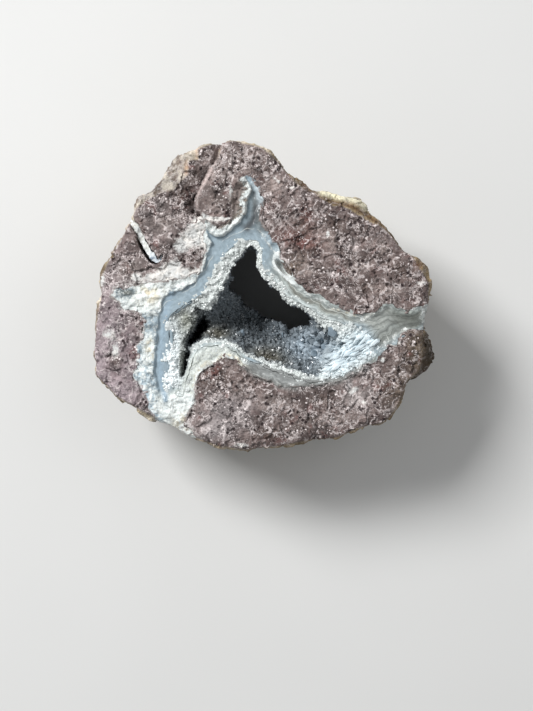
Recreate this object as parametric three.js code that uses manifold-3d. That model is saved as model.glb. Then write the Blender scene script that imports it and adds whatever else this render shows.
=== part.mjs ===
// Half of a cracked volcanic geode, lying on its rounded back with the broken face up.
// Millimetres, +Z up. The finished group has its origin under its middle, on the surface
// that the stone lies on. Every outline below is a plan view of the broken face: +X to the
// right, +Y to the top, measured from the middle of the stone.
import * as THREE from "three";
import { mergeVertices } from "three/addons/utils/BufferGeometryUtils.js";
import Module from "manifold-3d";

// ---- Driving dimensions ----
const FACE_HEIGHT = 45; // broken face above the resting plane, at the middle
const FACE_TILT_X = 0.03; // rise of the face per mm to the right
const FACE_TILT_Y = 0.06; // rise of the face per mm to the top
const RECESS_DEPTH = 3; // how far the rock left of the step lies below the rest
const RIM_DROP = 5; // fall of the face over its chipped outer edge
const SEAM_DEPTH = 15; // how deep the chalcedony arms run below the face
const VEIN_DEPTH = 9; // depth of the vein in the side crack
const SLIT_DEPTH = 14; // depth of the open slit left of the lobe
const CHALCEDONY_THICKNESS = 4.5; // lining behind the druse, below the seams
const DRUSE_THICKNESS = 1.7; // quartz crust between chalcedony and cavity
const FIT_GAP = 0.3; // space between neighbouring minerals
const LINING_FOOT = 0.6; // the lining ends this far above the resting plane
const DRUSE_FOOT = 2; // the druse ends this far above the resting plane
const DRUSE_LIP = 1.2; // the druse ends this far below the face
const DIRECTIONS = 40; // points around each cavity section
const OVERSHOOT = 8; // cutters run this far past the stone
const CUT_TOP = FACE_HEIGHT + OVERSHOOT;

// The stone's silhouette, clockwise from the top.
const SILHOUETTE = [
  [-8, 46.5], [0, 45], [5, 40.3], [10, 35.8], [15, 32], [21, 31], [28, 29.8], [31.5, 26],
  [37.5, 20.3], [41.5, 14.5], [48, 10.3], [50.1, 4.5], [49.8, -2], [48.7, -6], [49.8, -11.5],
  [51.5, -16.5], [48, -22.7], [44, -25], [42.5, -30.2], [36, -38.2], [28.5, -40], [23, -42.5],
  [14.5, -43.2], [5, -45.2], [-4.8, -46.3], [-13.5, -45], [-22, -42], [-30, -37.8],
  [-37.5, -33.9], [-44, -30.2], [-50.3, -23.5], [-50.9, -17], [-50, -8], [-48.5, -0.3],
  [-48.5, 5.8], [-45.8, 12.6], [-42.5, 18], [-38, 28], [-33.5, 32], [-27.5, 41], [-20, 44.4],
  [-14.5, 46.1],
];

// Broken face: share of the silhouette, and how far that ring lies below the face, in parts
// of the rim drop, from the stone's edge inwards.
const FACE_PROFILE = [[0.985, 1], [0.945, 0.25], [0.88, 0], [0.6, 0]];

// Back of the stone: share of the silhouette reached at each height.
const BACK_PROFILE = [
  [0, 0.71], [2.5, 0.8], [8, 0.885], [16, 0.95], [26, 0.988], [34, 1],
];

// Outer edge of the chalcedony on the broken face, clockwise from the top of its upper seam.
// It runs out through the stone's edge on the right and at the lower left.
const LINING_EDGE = [
  [-4, 37], [-1, 33], [0, 29.5], [-0.3, 24.5], [1, 20.3], [4.5, 15.5], [5.8, 11.5], [8, 7],
  [12, 2.5], [17, 0.8], [22, -2], [27.5, -4.2], [32.5, -4.7], [36, -2.2], [44, -4], [55, -1.8],
  [55, -10.2], [44, -11], [38, -14.3], [33, -20], [28, -23], [24, -25.8], [14, -27.4],
  [6, -27.7], [0, -25.2], [-6, -21], [-10, -18.2], [-13, -19.8], [-18, -21.5], [-19.5, -26],
  [-20, -29.5], [-21.5, -34.5], [-22.5, -38.5], [-18, -48], [-34, -48], [-32.5, -36],
  [-34.5, -31], [-38, -25], [-37.4, -16], [-35, -7], [-36, -5], [-42.5, -3.5], [-45.5, -1],
  [-45.5, 1], [-34, 4.8], [-26, 5.2], [-19, 8], [-17, 13], [-16.8, 20.5], [-12.5, 22.3],
  [-9.5, 26], [-8.2, 33.5],
];

// Rim of the cavity on the broken face, clockwise from its top.
const CAVITY_MOUTH = [
  [-3, 15.2], [-1.2, 13.5], [-1.8, 9.5], [0, 5.2], [3.5, 2.8], [7, -1], [12, -3.8], [17.3, -8],
  [24, -9.5], [28, -12], [29, -17], [23, -22], [15, -24], [9, -22.5], [3, -21], [-1, -19],
  [-5, -17.5], [-8.5, -14.8], [-13, -13.5], [-18, -13.9], [-21.5, -14.5], [-24, -12],
  [-26, -8], [-24.5, -5], [-20, -2], [-16, -2], [-14.5, -0.8], [-12.5, 3.5], [-9.8, 6],
  [-7.8, 10.8], [-4.5, 14.8],
];
const MOUTH_MIDDLE = [-2, -8];

// Where the cavity breaks out through the back of the stone, clockwise from its top.
const BACK_HOLE = [
  [1, 20], [12, 14], [23, 6], [24, -2], [19, -7], [14, -10.5], [8, -10.5], [3, -7.3], [-1, -6],
  [-5, -3], [-9, 1], [-12.5, 5], [-14, 13], [-8, 20],
];
const BACK_MIDDLE = [4, 3];

// The second, narrow way through the back, left of the lobe, clockwise from its top.
const SIDE_HOLE = [
  [-18.6, -6.6], [-17.8, -8.2], [-18.9, -10.8], [-21.5, -13.4], [-23.2, -13.6], [-23.4, -12],
  [-22.2, -10.3], [-20.6, -8],
];
const SIDE_HOLE_TOP = 34; // height where the side way leaves the main cavity

// The open slit between the left wall and the lobe, clockwise from its top.
const SLIT = [
  [-22, -12], [-20.6, -15], [-22, -19.5], [-24, -23.5], [-24.4, -28.5], [-25.6, -27.5],
  [-25.4, -24], [-24.2, -20.3], [-23.6, -17], [-24.4, -13],
];

// The crack in the upper left of the rock that the side vein fills, clockwise.
const CRACK = [
  [-38, 25.5], [-36.6, 18.7], [-33, 13], [-31, 11.2], [-32.2, 9.8], [-34.4, 12], [-37.4, 16.5],
  [-40.5, 21], [-41.5, 26],
];

// The step across the upper part of the rock face, from the top edge down to the seam.
const STEP_LINE = [[-11.5, 48], [-15.5, 38], [-19.8, 28.5], [-18, 20]];

// Larger crystals: height above the resting plane, direction seen from the cavity's middle
// line in degrees, radius and length.
const LARGE_CRYSTALS = [
  [33, -14, 2.1, 8.5], [30, -30, 1.8, 7.5], [36, -38, 1.6, 7], [27, -48, 1.7, 7],
  [31, -64, 1.4, 6], [22, -84, 1.5, 6], [28, -108, 1.4, 5.5], [24, -132, 1.6, 6],
];
const CRYSTAL_ROOT = 1.1; // how deep a crystal's foot sits in the druse
const CRYSTAL_LEAN = 0.45; // rise of a crystal for each mm that it stands out of the wall
const SHOULDER_SHARE = 0.55; // share of a crystal's length below its pointed end
const TIP_SHARE = 0.1; // width left at a crystal's blunt tip

// Small crystals: one ring for each height, evenly spaced around the cavity.
const SMALL_RING_HEIGHTS = [8, 18, 28, 37];
const SMALL_PER_RING = 16;
const SMALL_RADIUS = 1.5;
const SMALL_LENGTH = 3.4;

const wasm = await Module();
wasm.setup();

// ---- Geometry to solid and back ----
function toSolid(geometry) {
  geometry.deleteAttribute("normal");
  geometry.deleteAttribute("uv");
  const merged = mergeVertices(geometry, 1e-3);
  return new wasm.Manifold(new wasm.Mesh({
    numProp: 3,
    vertProperties: new Float32Array(merged.attributes.position.array),
    triVerts: new Uint32Array(merged.index.array),
  }));
}

function toMesh(name, solid, material) {
  const { vertProperties, triVerts } = solid.getMesh();
  const geometry = new THREE.BufferGeometry();
  geometry.setAttribute("position", new THREE.BufferAttribute(vertProperties, 3));
  geometry.setIndex(new THREE.BufferAttribute(triVerts, 1));
  const mesh = new THREE.Mesh(geometry, material);
  mesh.name = name;
  return mesh;
}

function solidFrom(points, index) {
  const geometry = new THREE.BufferGeometry().setFromPoints(points);
  geometry.setIndex(index);
  return toSolid(geometry);
}

// Side faces between rings of equally many points, listed from bottom to top, each ring
// running clockwise when seen from above.
function sideFaces(ringCount, count) {
  const index = [];
  for (let ring = 0; ring + 1 < ringCount; ring++) {
    for (let i = 0; i < count; i++) {
      const low = ring * count + i;
      const lowNext = ring * count + ((i + 1) % count);
      index.push(low, low + count, lowNext, lowNext, low + count, lowNext + count);
    }
  }
  return index;
}

// Closed skin through such rings, each end closed by a fan around its hub point.
function skin(rings, lowHub, highHub) {
  const count = rings[0].length;
  const total = rings.length * count;
  const index = sideFaces(rings.length, count);
  for (let i = 0; i < count; i++) {
    const next = (i + 1) % count;
    index.push(total, i, next);
    index.push(total + 1, total - count + next, total - count + i);
  }
  return solidFrom([...rings.flat(), lowHub, highHub], index);
}

// Straight cutter with a clockwise plan outline of any shape, between two heights.
function prism(outline, bottom, top) {
  const count = outline.length;
  const at = (height) => outline.map(([x, y]) => new THREE.Vector3(x, y, height));
  const index = sideFaces(2, count);
  const contour = outline.map(([x, y]) => new THREE.Vector2(x, y));
  for (const [a, b, c] of THREE.ShapeUtils.triangulateShape(contour, [])) {
    const isClockwise = THREE.ShapeUtils.isClockWise([contour[a], contour[b], contour[c]]);
    const [first, second, third] = isClockwise ? [a, b, c] : [c, b, a];
    index.push(first, second, third, third + count, second + count, first + count);
  }
  return solidFrom([...at(bottom), ...at(top)], index);
}

// A clockwise outline moved outwards by a distance, or inwards by a negative one.
function grown(outline, distance) {
  return outline.map(([x, y], i) => {
    const before = outline.at(i - 1);
    const after = outline[(i + 1) % outline.length];
    const a = new THREE.Vector2(x - before[0], y - before[1]).normalize();
    const b = new THREE.Vector2(after[0] - x, after[1] - y).normalize();
    const outwards = new THREE.Vector2(-a.y - b.y, a.x + b.x).normalize();
    const stretch = distance / Math.max(0.5, outwards.x * -a.y + outwards.y * a.x);
    return [x + outwards.x * stretch, y + outwards.y * stretch];
  });
}

// Distance from a middle point to an outline in one direction.
function reach(outline, [mx, my], angle) {
  const dx = Math.cos(angle);
  const dy = Math.sin(angle);
  let farthest = 0;
  outline.forEach(([x, y], i) => {
    const [nx, ny] = outline[(i + 1) % outline.length];
    const ex = nx - x;
    const ey = ny - y;
    const cross = dx * ey - dy * ex;
    if (Math.abs(cross) < 1e-9) return;
    const along = ((x - mx) * ey - (y - my) * ex) / cross;
    const share = ((x - mx) * dy - (y - my) * dx) / cross;
    if (share >= 0 && share <= 1) farthest = Math.max(farthest, along);
  });
  return farthest;
}

// ---- The stone ----
function isLeftOfStep(x, y) {
  for (let i = 0; i + 1 < STEP_LINE.length; i++) {
    const [x0, y0] = STEP_LINE[i];
    const [x1, y1] = STEP_LINE[i + 1];
    if (y <= y0 && y > y1) return x < x0 + ((x1 - x0) * (y0 - y)) / (y0 - y1);
  }
  return false;
}

function faceHeight(x, y) {
  const recess = isLeftOfStep(x, y) ? RECESS_DEPTH : 0;
  return FACE_HEIGHT + FACE_TILT_X * x + FACE_TILT_Y * y - recess;
}

function stoneSolid() {
  const back = BACK_PROFILE.map(([height, share]) =>
    SILHOUETTE.map(([x, y]) => new THREE.Vector3(x * share, y * share, height)));
  const face = FACE_PROFILE.map(([share, drop]) =>
    SILHOUETTE.map(([x, y]) => {
      const px = x * share;
      const py = y * share;
      return new THREE.Vector3(px, py, faceHeight(px, py) - drop * RIM_DROP);
    }));
  return skin(
    [...back, ...face],
    new THREE.Vector3(0, 0, 0),
    new THREE.Vector3(0, 0, FACE_HEIGHT),
  );
}

// ---- The cavity ----
// Point of the cavity wall at a height, in one direction from the middle of that section.
// Sections change evenly from the mouth to the hole in the back.
function wallPoint(angle, height, outset) {
  const share = THREE.MathUtils.clamp(1 - height / FACE_HEIGHT, 0, 1);
  const mouth = reach(CAVITY_MOUTH, MOUTH_MIDDLE, angle);
  const hole = reach(BACK_HOLE, BACK_MIDDLE, angle);
  const distance = THREE.MathUtils.lerp(mouth, hole, share) + outset;
  return new THREE.Vector3(
    THREE.MathUtils.lerp(MOUTH_MIDDLE[0], BACK_MIDDLE[0], share) + distance * Math.cos(angle),
    THREE.MathUtils.lerp(MOUTH_MIDDLE[1], BACK_MIDDLE[1], share) + distance * Math.sin(angle),
    height,
  );
}

function cavitySolid(outset) {
  const levels = [0, 0.25, 0.5, 0.75, 1].map((share) => share * FACE_HEIGHT);
  const heights = [-OVERSHOOT, ...levels, CUT_TOP];
  const main = skin(
    heights.map((height) => Array.from({ length: DIRECTIONS }, (_, i) =>
      wallPoint((-2 * Math.PI * i) / DIRECTIONS, height, outset))),
    new THREE.Vector3(...BACK_MIDDLE, -OVERSHOOT),
    new THREE.Vector3(...MOUTH_MIDDLE, CUT_TOP),
  );
  const side = prism(grown(SIDE_HOLE, outset), -OVERSHOOT, SIDE_HOLE_TOP + outset);
  return main.add(side);
}

// ---- Crystals ----
// Six-sided quartz point, grown by a margin, with its foot sunk in the cavity wall and its
// tip leaning in and up towards the open side.
function seatedPoint(height, angle, radius, length, margin) {
  const wall = wallPoint(angle, height, CRYSTAL_ROOT);
  const lean = new THREE.Vector3(-Math.cos(angle), -Math.sin(angle), CRYSTAL_LEAN).normalize();
  const turn = new THREE.Quaternion().setFromUnitVectors(new THREE.Vector3(0, 0, 1), lean);
  const ring = (share, along) =>
    Array.from({ length: 6 }, (_, i) => {
      const side = (-Math.PI * i) / 3;
      const across = (radius + margin) * share;
      return new THREE.Vector3(across * Math.cos(side), across * Math.sin(side), along);
    });
  const foot = -margin;
  const tip = length + margin;
  const shoulder = length * SHOULDER_SHARE;
  const rings = [ring(1, foot), ring(1, shoulder), ring(TIP_SHARE, tip)];
  const place = (point) => point.applyQuaternion(turn).add(wall);
  return skin(
    rings.map((points) => points.map(place)),
    place(new THREE.Vector3(0, 0, foot)),
    place(new THREE.Vector3(0, 0, tip)),
  );
}

const largeCrystal = ([height, degrees, radius, length], margin) =>
  seatedPoint(height, THREE.MathUtils.degToRad(degrees), radius, length, margin);

// ---- Minerals ----
const stone = stoneSolid();
const slab = (bottom, top) => prism(grown(SILHOUETTE, OVERSHOOT), bottom, top);

// Room taken by the chalcedony and all inside it, set back from the rock by a margin.
function liningSpace(margin) {
  const floor = FACE_HEIGHT - SEAM_DEPTH + margin;
  const seams = prism(grown(LINING_EDGE, -margin), floor, CUT_TOP);
  return seams.add(cavitySolid(DRUSE_THICKNESS + CHALCEDONY_THICKNESS - margin));
}

const slit = prism(SLIT, FACE_HEIGHT - SLIT_DEPTH, CUT_TOP);
const crack = prism(CRACK, FACE_HEIGHT - VEIN_DEPTH, CUT_TOP);
const vein = prism(grown(CRACK, -FIT_GAP), FACE_HEIGHT - VEIN_DEPTH + FIT_GAP, CUT_TOP);

const hostRock = stone.subtract(liningSpace(0)).subtract(crack);

const chalcedony = stone
  .intersect(liningSpace(FIT_GAP))
  .intersect(slab(LINING_FOOT, CUT_TOP))
  .subtract(cavitySolid(DRUSE_THICKNESS))
  .subtract(slit);

function druseSolid() {
  let crust = cavitySolid(DRUSE_THICKNESS - FIT_GAP).subtract(cavitySolid(0));
  SMALL_RING_HEIGHTS.forEach((height, ring) => {
    for (let i = 0; i < SMALL_PER_RING; i++) {
      const angle = (2 * Math.PI * (i + (ring % 2) / 2)) / SMALL_PER_RING;
      crust = crust.add(seatedPoint(height, angle, SMALL_RADIUS, SMALL_LENGTH, 0));
    }
  });
  const druse = crust
    .intersect(cavitySolid(DRUSE_THICKNESS - FIT_GAP))
    .intersect(slab(DRUSE_FOOT, FACE_HEIGHT - DRUSE_LIP))
    .subtract(slit);
  return LARGE_CRYSTALS.reduce(
    (rest, crystal) => rest.subtract(largeCrystal(crystal, FIT_GAP)),
    druse,
  );
}

// A large crystal with its foot trimmed to stay clear of the chalcedony.
function looseCrystal(crystal) {
  return largeCrystal(crystal, 0).intersect(cavitySolid(DRUSE_THICKNESS - 2 * FIT_GAP));
}

const finish = (color, roughness) =>
  new THREE.MeshStandardMaterial({ color, roughness, metalness: 0 });

const geode = new THREE.Group();
geode.add(toMesh("host_rock", hostRock, finish(0x8a7876, 0.9)));
geode.add(toMesh("chalcedony_lining", chalcedony, finish(0xa6b9c2, 0.45)));
geode.add(toMesh("crack_vein", stone.intersect(vein), finish(0xdde2e0, 0.6)));
geode.add(toMesh("quartz_druse", druseSolid(), finish(0xc3cdd0, 0.25)));
LARGE_CRYSTALS.forEach((crystal, i) => {
  geode.add(toMesh(`large_crystal_${i + 1}`, looseCrystal(crystal), finish(0xaebbc4, 0.15)));
});

// The origin goes under the middle of the stone's box, on the resting plane.
const box = new THREE.Box3().setFromObject(geode);
const middle = box.getCenter(new THREE.Vector3());
geode.position.set(-middle.x, -middle.y, -box.min.z);

export default geode;
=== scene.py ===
# Visual model of a cracked geode half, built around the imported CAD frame.
# All shape work is in millimetres on the plan of the broken face (+X right, +Y top, measured
# from the middle of the stone) and is turned into metres when each mesh is made.
import math

import bmesh
import bpy
import numpy as np
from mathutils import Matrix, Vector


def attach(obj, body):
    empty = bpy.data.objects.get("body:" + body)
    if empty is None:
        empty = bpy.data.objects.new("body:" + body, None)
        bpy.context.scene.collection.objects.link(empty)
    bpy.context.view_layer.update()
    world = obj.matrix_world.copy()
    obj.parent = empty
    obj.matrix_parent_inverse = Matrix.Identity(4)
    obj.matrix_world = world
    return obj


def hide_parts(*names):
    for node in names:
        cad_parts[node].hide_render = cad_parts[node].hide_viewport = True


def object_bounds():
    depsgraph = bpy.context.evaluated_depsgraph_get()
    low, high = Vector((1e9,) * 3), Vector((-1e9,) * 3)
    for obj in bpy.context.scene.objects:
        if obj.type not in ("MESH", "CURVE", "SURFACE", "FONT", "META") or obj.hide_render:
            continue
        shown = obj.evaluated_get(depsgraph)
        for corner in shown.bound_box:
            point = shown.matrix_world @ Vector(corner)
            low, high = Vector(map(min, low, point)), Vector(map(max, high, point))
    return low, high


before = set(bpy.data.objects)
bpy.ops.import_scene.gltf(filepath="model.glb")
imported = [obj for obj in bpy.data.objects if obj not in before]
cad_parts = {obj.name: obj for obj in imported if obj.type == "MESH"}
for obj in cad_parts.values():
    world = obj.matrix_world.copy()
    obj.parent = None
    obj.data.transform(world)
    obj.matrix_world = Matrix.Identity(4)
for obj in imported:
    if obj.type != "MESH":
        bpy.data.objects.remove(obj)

import openvdb

CAD_BOX = [list(corner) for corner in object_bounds()]
CAD_HEIGHT = (CAD_BOX[1][2] - CAD_BOX[0][2]) * 1000
FACE_HEIGHT = 0.95 * CAD_HEIGHT
SEAM_DEPTH = FACE_HEIGHT / 3
MM = 0.001

# ---------------------------------------------------------------------------------------
# Outlines on the broken face, clockwise
# ---------------------------------------------------------------------------------------
SILHOUETTE = [
    (-8, 46.5), (-5, 45.6), (0, 45), (2.5, 43.2), (5, 40.3), (7.5, 37.3), (10, 35.8),
    (13, 33.8), (15, 32), (17, 31.4), (18.5, 31.8), (21, 31), (25, 30), (28, 29.8),
    (30, 29.2), (31.3, 27.5), (31.7, 25.5), (33.5, 23.5), (35.5, 21.8), (37.5, 20.3),
    (39, 18), (40, 16.3), (41.5, 14.5), (44, 12.8), (46, 11.8), (48, 10.3), (49.3, 9.3),
    (49.9, 7.5), (50.1, 4.5), (50.6, 2.6), (49.8, -2), (49.2, -4.5), (48.7, -6),
    (48.9, -8), (48.4, -10.2), (49.8, -11.5), (50.8, -14), (51.5, -16.5), (51, -18.5),
    (50, -20.5), (48, -22.7), (46, -24.3), (44, -25), (43.3, -28), (42.5, -30.2),
    (41, -33), (39.7, -35), (38, -36.7), (36, -38.2), (31.5, -38.6), (28.5, -40),
    (25.5, -41), (23, -42.5), (17, -42.5), (14.5, -43.2), (12.5, -44.2), (5, -45.2),
    (0, -44.7), (-2.5, -45), (-4.8, -46.3), (-8, -46), (-13.5, -45), (-16, -43.6),
    (-20, -42.7), (-22, -42), (-24, -40.5), (-27, -38.8), (-30, -37.8), (-32, -37),
    (-33.3, -37.3), (-35, -36), (-37.5, -33.9), (-40, -32.7), (-42, -32), (-44, -30.2),
    (-46, -28), (-48, -25.5), (-50.3, -23.5), (-50.6, -22), (-50, -20), (-50.9, -17),
    (-50.5, -15), (-50, -12), (-50.2, -8), (-50, -1.7), (-48.5, -0.3), (-48.3, 1),
    (-48.9, 4), (-48.5, 5.8), (-47.5, 8), (-47, 10.3), (-45.8, 12.6), (-44.5, 14),
    (-43.8, 16), (-42.5, 18), (-41, 20.5), (-39.3, 24), (-38.2, 26.3), (-38, 28),
    (-37.3, 30), (-35.5, 31.2), (-33.5, 32), (-32, 33.8), (-30, 36.5), (-28.5, 38.8),
    (-27.5, 41), (-26, 42.2), (-23, 43.8), (-20, 44.4), (-17.5, 45.8), (-14.5, 46.1),
    (-11.5, 46), (-10, 46.6),
]
# Crest of the broken face: outside it the surface falls away over the weathered rind.
FACE_CREST = [
    (-8, 46), (0, 44), (5, 39.5), (10, 33.2), (15, 31), (17, 29.5), (20, 27.7), (21, 26.7),
    (24, 26.8), (27, 25), (30, 23.2), (33, 21.5), (35, 21), (37, 19.3), (38.8, 17.6),
    (43, 13), (45.5, 10.5), (46.5, 8.5), (48, 6.5), (49.5, 4), (49.4, -2), (48.2, -8),
    (48, -11), (47, -14), (47.4, -18), (46.5, -22), (43.2, -25), (41.8, -30), (38, -36),
    (35.5, -37.8), (28, -39.3), (22.5, -42), (14, -42.8), (5, -44.6), (-5, -45.7),
    (-13.5, -44.4), (-22, -41.4), (-30, -37.2), (-37.3, -33.2), (-43.6, -29.6),
    (-49.8, -23.2), (-50.3, -17), (-49.6, -8), (-48, -0.5), (-48.2, 5.5), (-45.2, 12),
    (-42, 17.5), (-38.6, 24), (-37.6, 26.5), (-34, 29), (-30, 31), (-26, 31.7),
    (-25, 33.5), (-22, 36.5), (-21.5, 40.5), (-18.5, 41), (-19, 44), (-14.5, 45.6),
]
# Contact between rock and chalcedony, from the top of the upper seam.
LINING_EDGE = [
    (-4.5, 36.5), (-2.5, 35), (-1, 33), (-0.5, 31.5), (0, 29.5), (0.8, 27), (-0.3, 24.5),
    (-0.5, 22), (1, 20.3), (2.8, 16.5), (4.5, 15.5), (5.3, 13.5), (5.8, 11.8), (8, 9.5),
    (10.3, 5.2), (12, 3.4), (14, 1.2), (17, 0.8), (19, 0.3), (20, -1.5), (24, -2.3),
    (26, -3), (27.5, -4.2), (30, -4.8), (32.5, -4.7), (34.5, -3.5), (36, -2.2), (38, -1.8),
    (40, -2.8), (42, -3.5), (44, -4), (46, -2.5), (49.8, -1.8), (54, -1.5), (54, -10.2),
    (48.5, -10.2), (46.5, -10.5), (44, -11), (41.5, -12), (40, -13.8), (38, -14.3),
    (37, -16), (35, -18), (33, -20), (30.5, -21), (28, -23), (25.5, -24.5), (24, -25.5),
    (21, -26), (17, -26.2), (14, -26.6), (10, -27.2), (6, -26.6), (3, -25.4), (0, -24.6),
    (-2.5, -23.8), (-4, -22.2), (-6, -21), (-8, -19.5), (-10, -18.2), (-11.5, -18.7),
    (-13, -19.8), (-16, -20.5), (-18, -21.5), (-19.2, -23.5), (-19.5, -26), (-20, -29.5),
    (-20.5, -32), (-21.5, -34.5), (-23, -36), (-22.5, -38.5), (-20.5, -40), (-19, -42.5),
    (-18, -48), (-31, -48), (-32, -37), (-32.5, -35.5), (-34, -33.5), (-34.5, -31),
    (-36, -28), (-38, -25), (-38.5, -22), (-37.5, -20.5), (-37.3, -18), (-37.5, -15),
    (-36.5, -12.5), (-35.5, -10), (-35, -7), (-36, -5), (-39, -4.3), (-42.5, -3.5),
    (-43.5, -1), (-45.5, 0.5), (-44, 3), (-41, 3.2), (-37, 3.5), (-34, 4.8), (-30, 4.5),
    (-26, 5.2), (-22, 6), (-19, 8), (-17, 13), (-17.5, 17.5), (-17.2, 20.8), (-18, 23.2),
    (-17, 23.5), (-15, 22.3), (-12.5, 22.3), (-10, 23.5), (-9.5, 26), (-9.2, 29),
    (-8.5, 32), (-8.2, 33.5), (-6.5, 35.5),
]
# Contact between chalcedony and druse, from the top of the cavity.
DRUSE_EDGE = [
    (-3.4, 17.4), (-1, 16.4), (0.1, 13.5), (-0.4, 9.8), (1.1, 6.7), (3.2, 4.6), (4.8, 3.2),
    (6.8, 1), (8.6, -0.7), (12, -2.3), (14.4, -3.6), (17.6, -6), (20, -6.8), (23, -7.4),
    (26, -8.4), (29.5, -9.3), (32.5, -10.6), (34.6, -13), (34.8, -16), (34, -18.2),
    (31, -20.3), (28, -21.2), (26, -23), (24.5, -25), (20, -25.2), (17, -26), (11, -25.7),
    (8.8, -23.8), (3, -22.3), (-1, -20.4), (-5, -18.8), (-8.5, -15.9), (-13, -14.6),
    (-18, -15.1), (-20.7, -17.6), (-22.2, -21), (-23.3, -25), (-23.8, -29.5), (-26, -30.5),
    (-28, -31), (-29.5, -28), (-30.3, -22), (-29.3, -17), (-28.3, -13), (-28.2, -9.5),
    (-29.5, -6.7), (-27, -4.2), (-24, -2.4), (-20.3, -0.2), (-17.8, 1.2), (-16.6, 3.8),
    (-14.2, 7.2), (-12.3, 10.6), (-10.8, 13.2), (-7.8, 15.8),
]
# Rim of the cavity.
CAVITY_MOUTH = [
    (-3, 15.2), (-2, 15), (-1.2, 13.5), (-1.5, 11.5), (-1.8, 9.5), (-1.2, 7.5), (0, 5.2),
    (2, 4), (3.5, 2.8), (5.5, 0.8), (7, -1), (9, -2.5), (12, -3.8), (14, -5.2), (16, -6.8),
    (17.3, -8), (19, -8.2), (21, -8.3), (23, -9), (24.8, -10.5), (27, -11.5), (29.5, -13.5),
    (30, -16.5), (27, -19), (23.5, -21.5), (20, -23.4), (17, -24.6), (14.5, -24.8),
    (11, -24), (9, -22.4), (6, -21.8), (3, -20.9), (1, -20.2), (-1, -19.2), (-5, -17.7),
    (-7, -16), (-8.5, -14.8), (-10.5, -14), (-13, -13.6), (-15.5, -13.7), (-18, -14.1),
    (-19.8, -15.2), (-21.2, -17.2), (-22, -19.5), (-23, -22.5), (-24, -25.5), (-24.4, -29),
    (-25.8, -26.5), (-26, -23.5), (-26, -19.5), (-26.2, -16.5), (-26.6, -13), (-26.8, -9),
    (-26.3, -6.2), (-24, -4.2), (-22, -2.7), (-20, -2), (-18, -2.2), (-16.5, -2.9),
    (-15.6, -1.6), (-14.5, -0.8), (-14.2, 0.3), (-13.3, 2), (-12.5, 3.5), (-11, 4.5),
    (-9.8, 6), (-9.5, 8), (-8.2, 9.5), (-7.8, 10.8), (-6.5, 12.5), (-4.5, 14.6),
]
# Where the cavity breaks out through the back.
BACK_HOLE = [
    (1, 20), (12, 14), (23, 6), (25, -1), (19, -7), (16, -9.1), (14, -10.8), (12, -9.6),
    (9.8, -10.6), (8, -10.8), (7, -8.9), (2.6, -7.1), (-1.2, -6), (-2.3, -4.5), (-5, -3),
    (-6.7, -1.3), (-9, 0.8), (-11.1, 2.3), (-12.4, 5), (-14, 13), (-8, 20),
]
SIDE_HOLE = [
    (-18, -5.8), (-17, -7.2), (-17.3, -9.6), (-19, -12), (-21.2, -14.2), (-22.6, -14.8),
    (-23, -13.2), (-22, -11.2), (-20.8, -9.6), (-19.8, -7.4),
]
# The side crack, and the white vein that fills most of it.
CRACK = [
    (-40.5, 26), (-37, 22), (-34.6, 16.8), (-32.6, 13.2), (-31, 11.5), (-29.9, 13.2),
    (-29.1, 12.8), (-30.2, 10.6), (-31.6, 9.3), (-33.6, 10), (-35.4, 12.8), (-37.2, 15.9),
    (-38.4, 19.4), (-40.6, 23.5),
]
VEIN = CRACK[:8] + [
    (-31.7, 9.6), (-33.4, 10.6), (-35.1, 13.4), (-36.9, 16.5), (-38.4, 19.5), (-40.6, 23.5),
]
# Rounded lobe of rock inside the upper seam.
ISLAND = [
    (-19.7, 29), (-19.5, 26.5), (-18, 25), (-17, 23.7), (-15, 22.5), (-12.5, 22.5),
    (-10.2, 23.7), (-9.7, 26), (-9.4, 29), (-8.7, 32), (-9.5, 35), (-12.5, 35.5),
    (-15.5, 34.5), (-18, 32),
][::-1]
# White ridge of the seam below the lobe. The lobe and the ridge stand above the blue band.
RIDGE = [
    (-5.5, 36), (-3.8, 34), (-2.6, 31.7), (-4, 29.5), (-4.5, 27), (-5, 24.5), (-6, 23),
    (-8, 21), (-9.5, 19.5), (-11.5, 18.3), (-14, 18), (-15.5, 19), (-16.8, 20.7),
]
LEDGE = RIDGE + [
    (-17.5, 23), (-19.5, 26), (-19.8, 29), (-18, 32), (-15.5, 36), (-12, 38), (-8, 38.5),
]
# Thick crust between the rock and the blue band on the left, a little above the band.
CRUST = [
    (-16.8, 20.7), (-15.2, 18), (-14.6, 16.3), (-16.5, 11.5), (-17.4, 7.9), (-19.9, 4.3),
    (-22.3, 2.5), (-25.9, 1.3), (-29.2, -0.8), (-30.4, -6), (-31.2, -12), (-31.8, -18),
    (-31.9, -22), (-31, -27), (-29.6, -31.5), (-60, -34), (-60, 24), (-18, 24),
]
# White rim of the rounded lobe of lining right of the slit.
LOBE_RIM = [
    (-25, -31), (-22.2, -27), (-21, -22), (-19, -18.6), (-15.5, -16.8), (-11.5, -16.6),
    (-8.5, -18.2),
]
# Step in the rock that runs up from the rounded lobe: its left side lies lower.
STEP_LINE = [
    (-11.5, 48), (-13, 42), (-15.5, 38), (-17, 34.5), (-19, 31), (-19.8, 28.5), (-19.5, 26),
]

# ---------------------------------------------------------------------------------------
# Numeric helpers
# ---------------------------------------------------------------------------------------
HASH_OFFSET = 512
HASH_TOP = 0xFFFFFFFF


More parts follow.
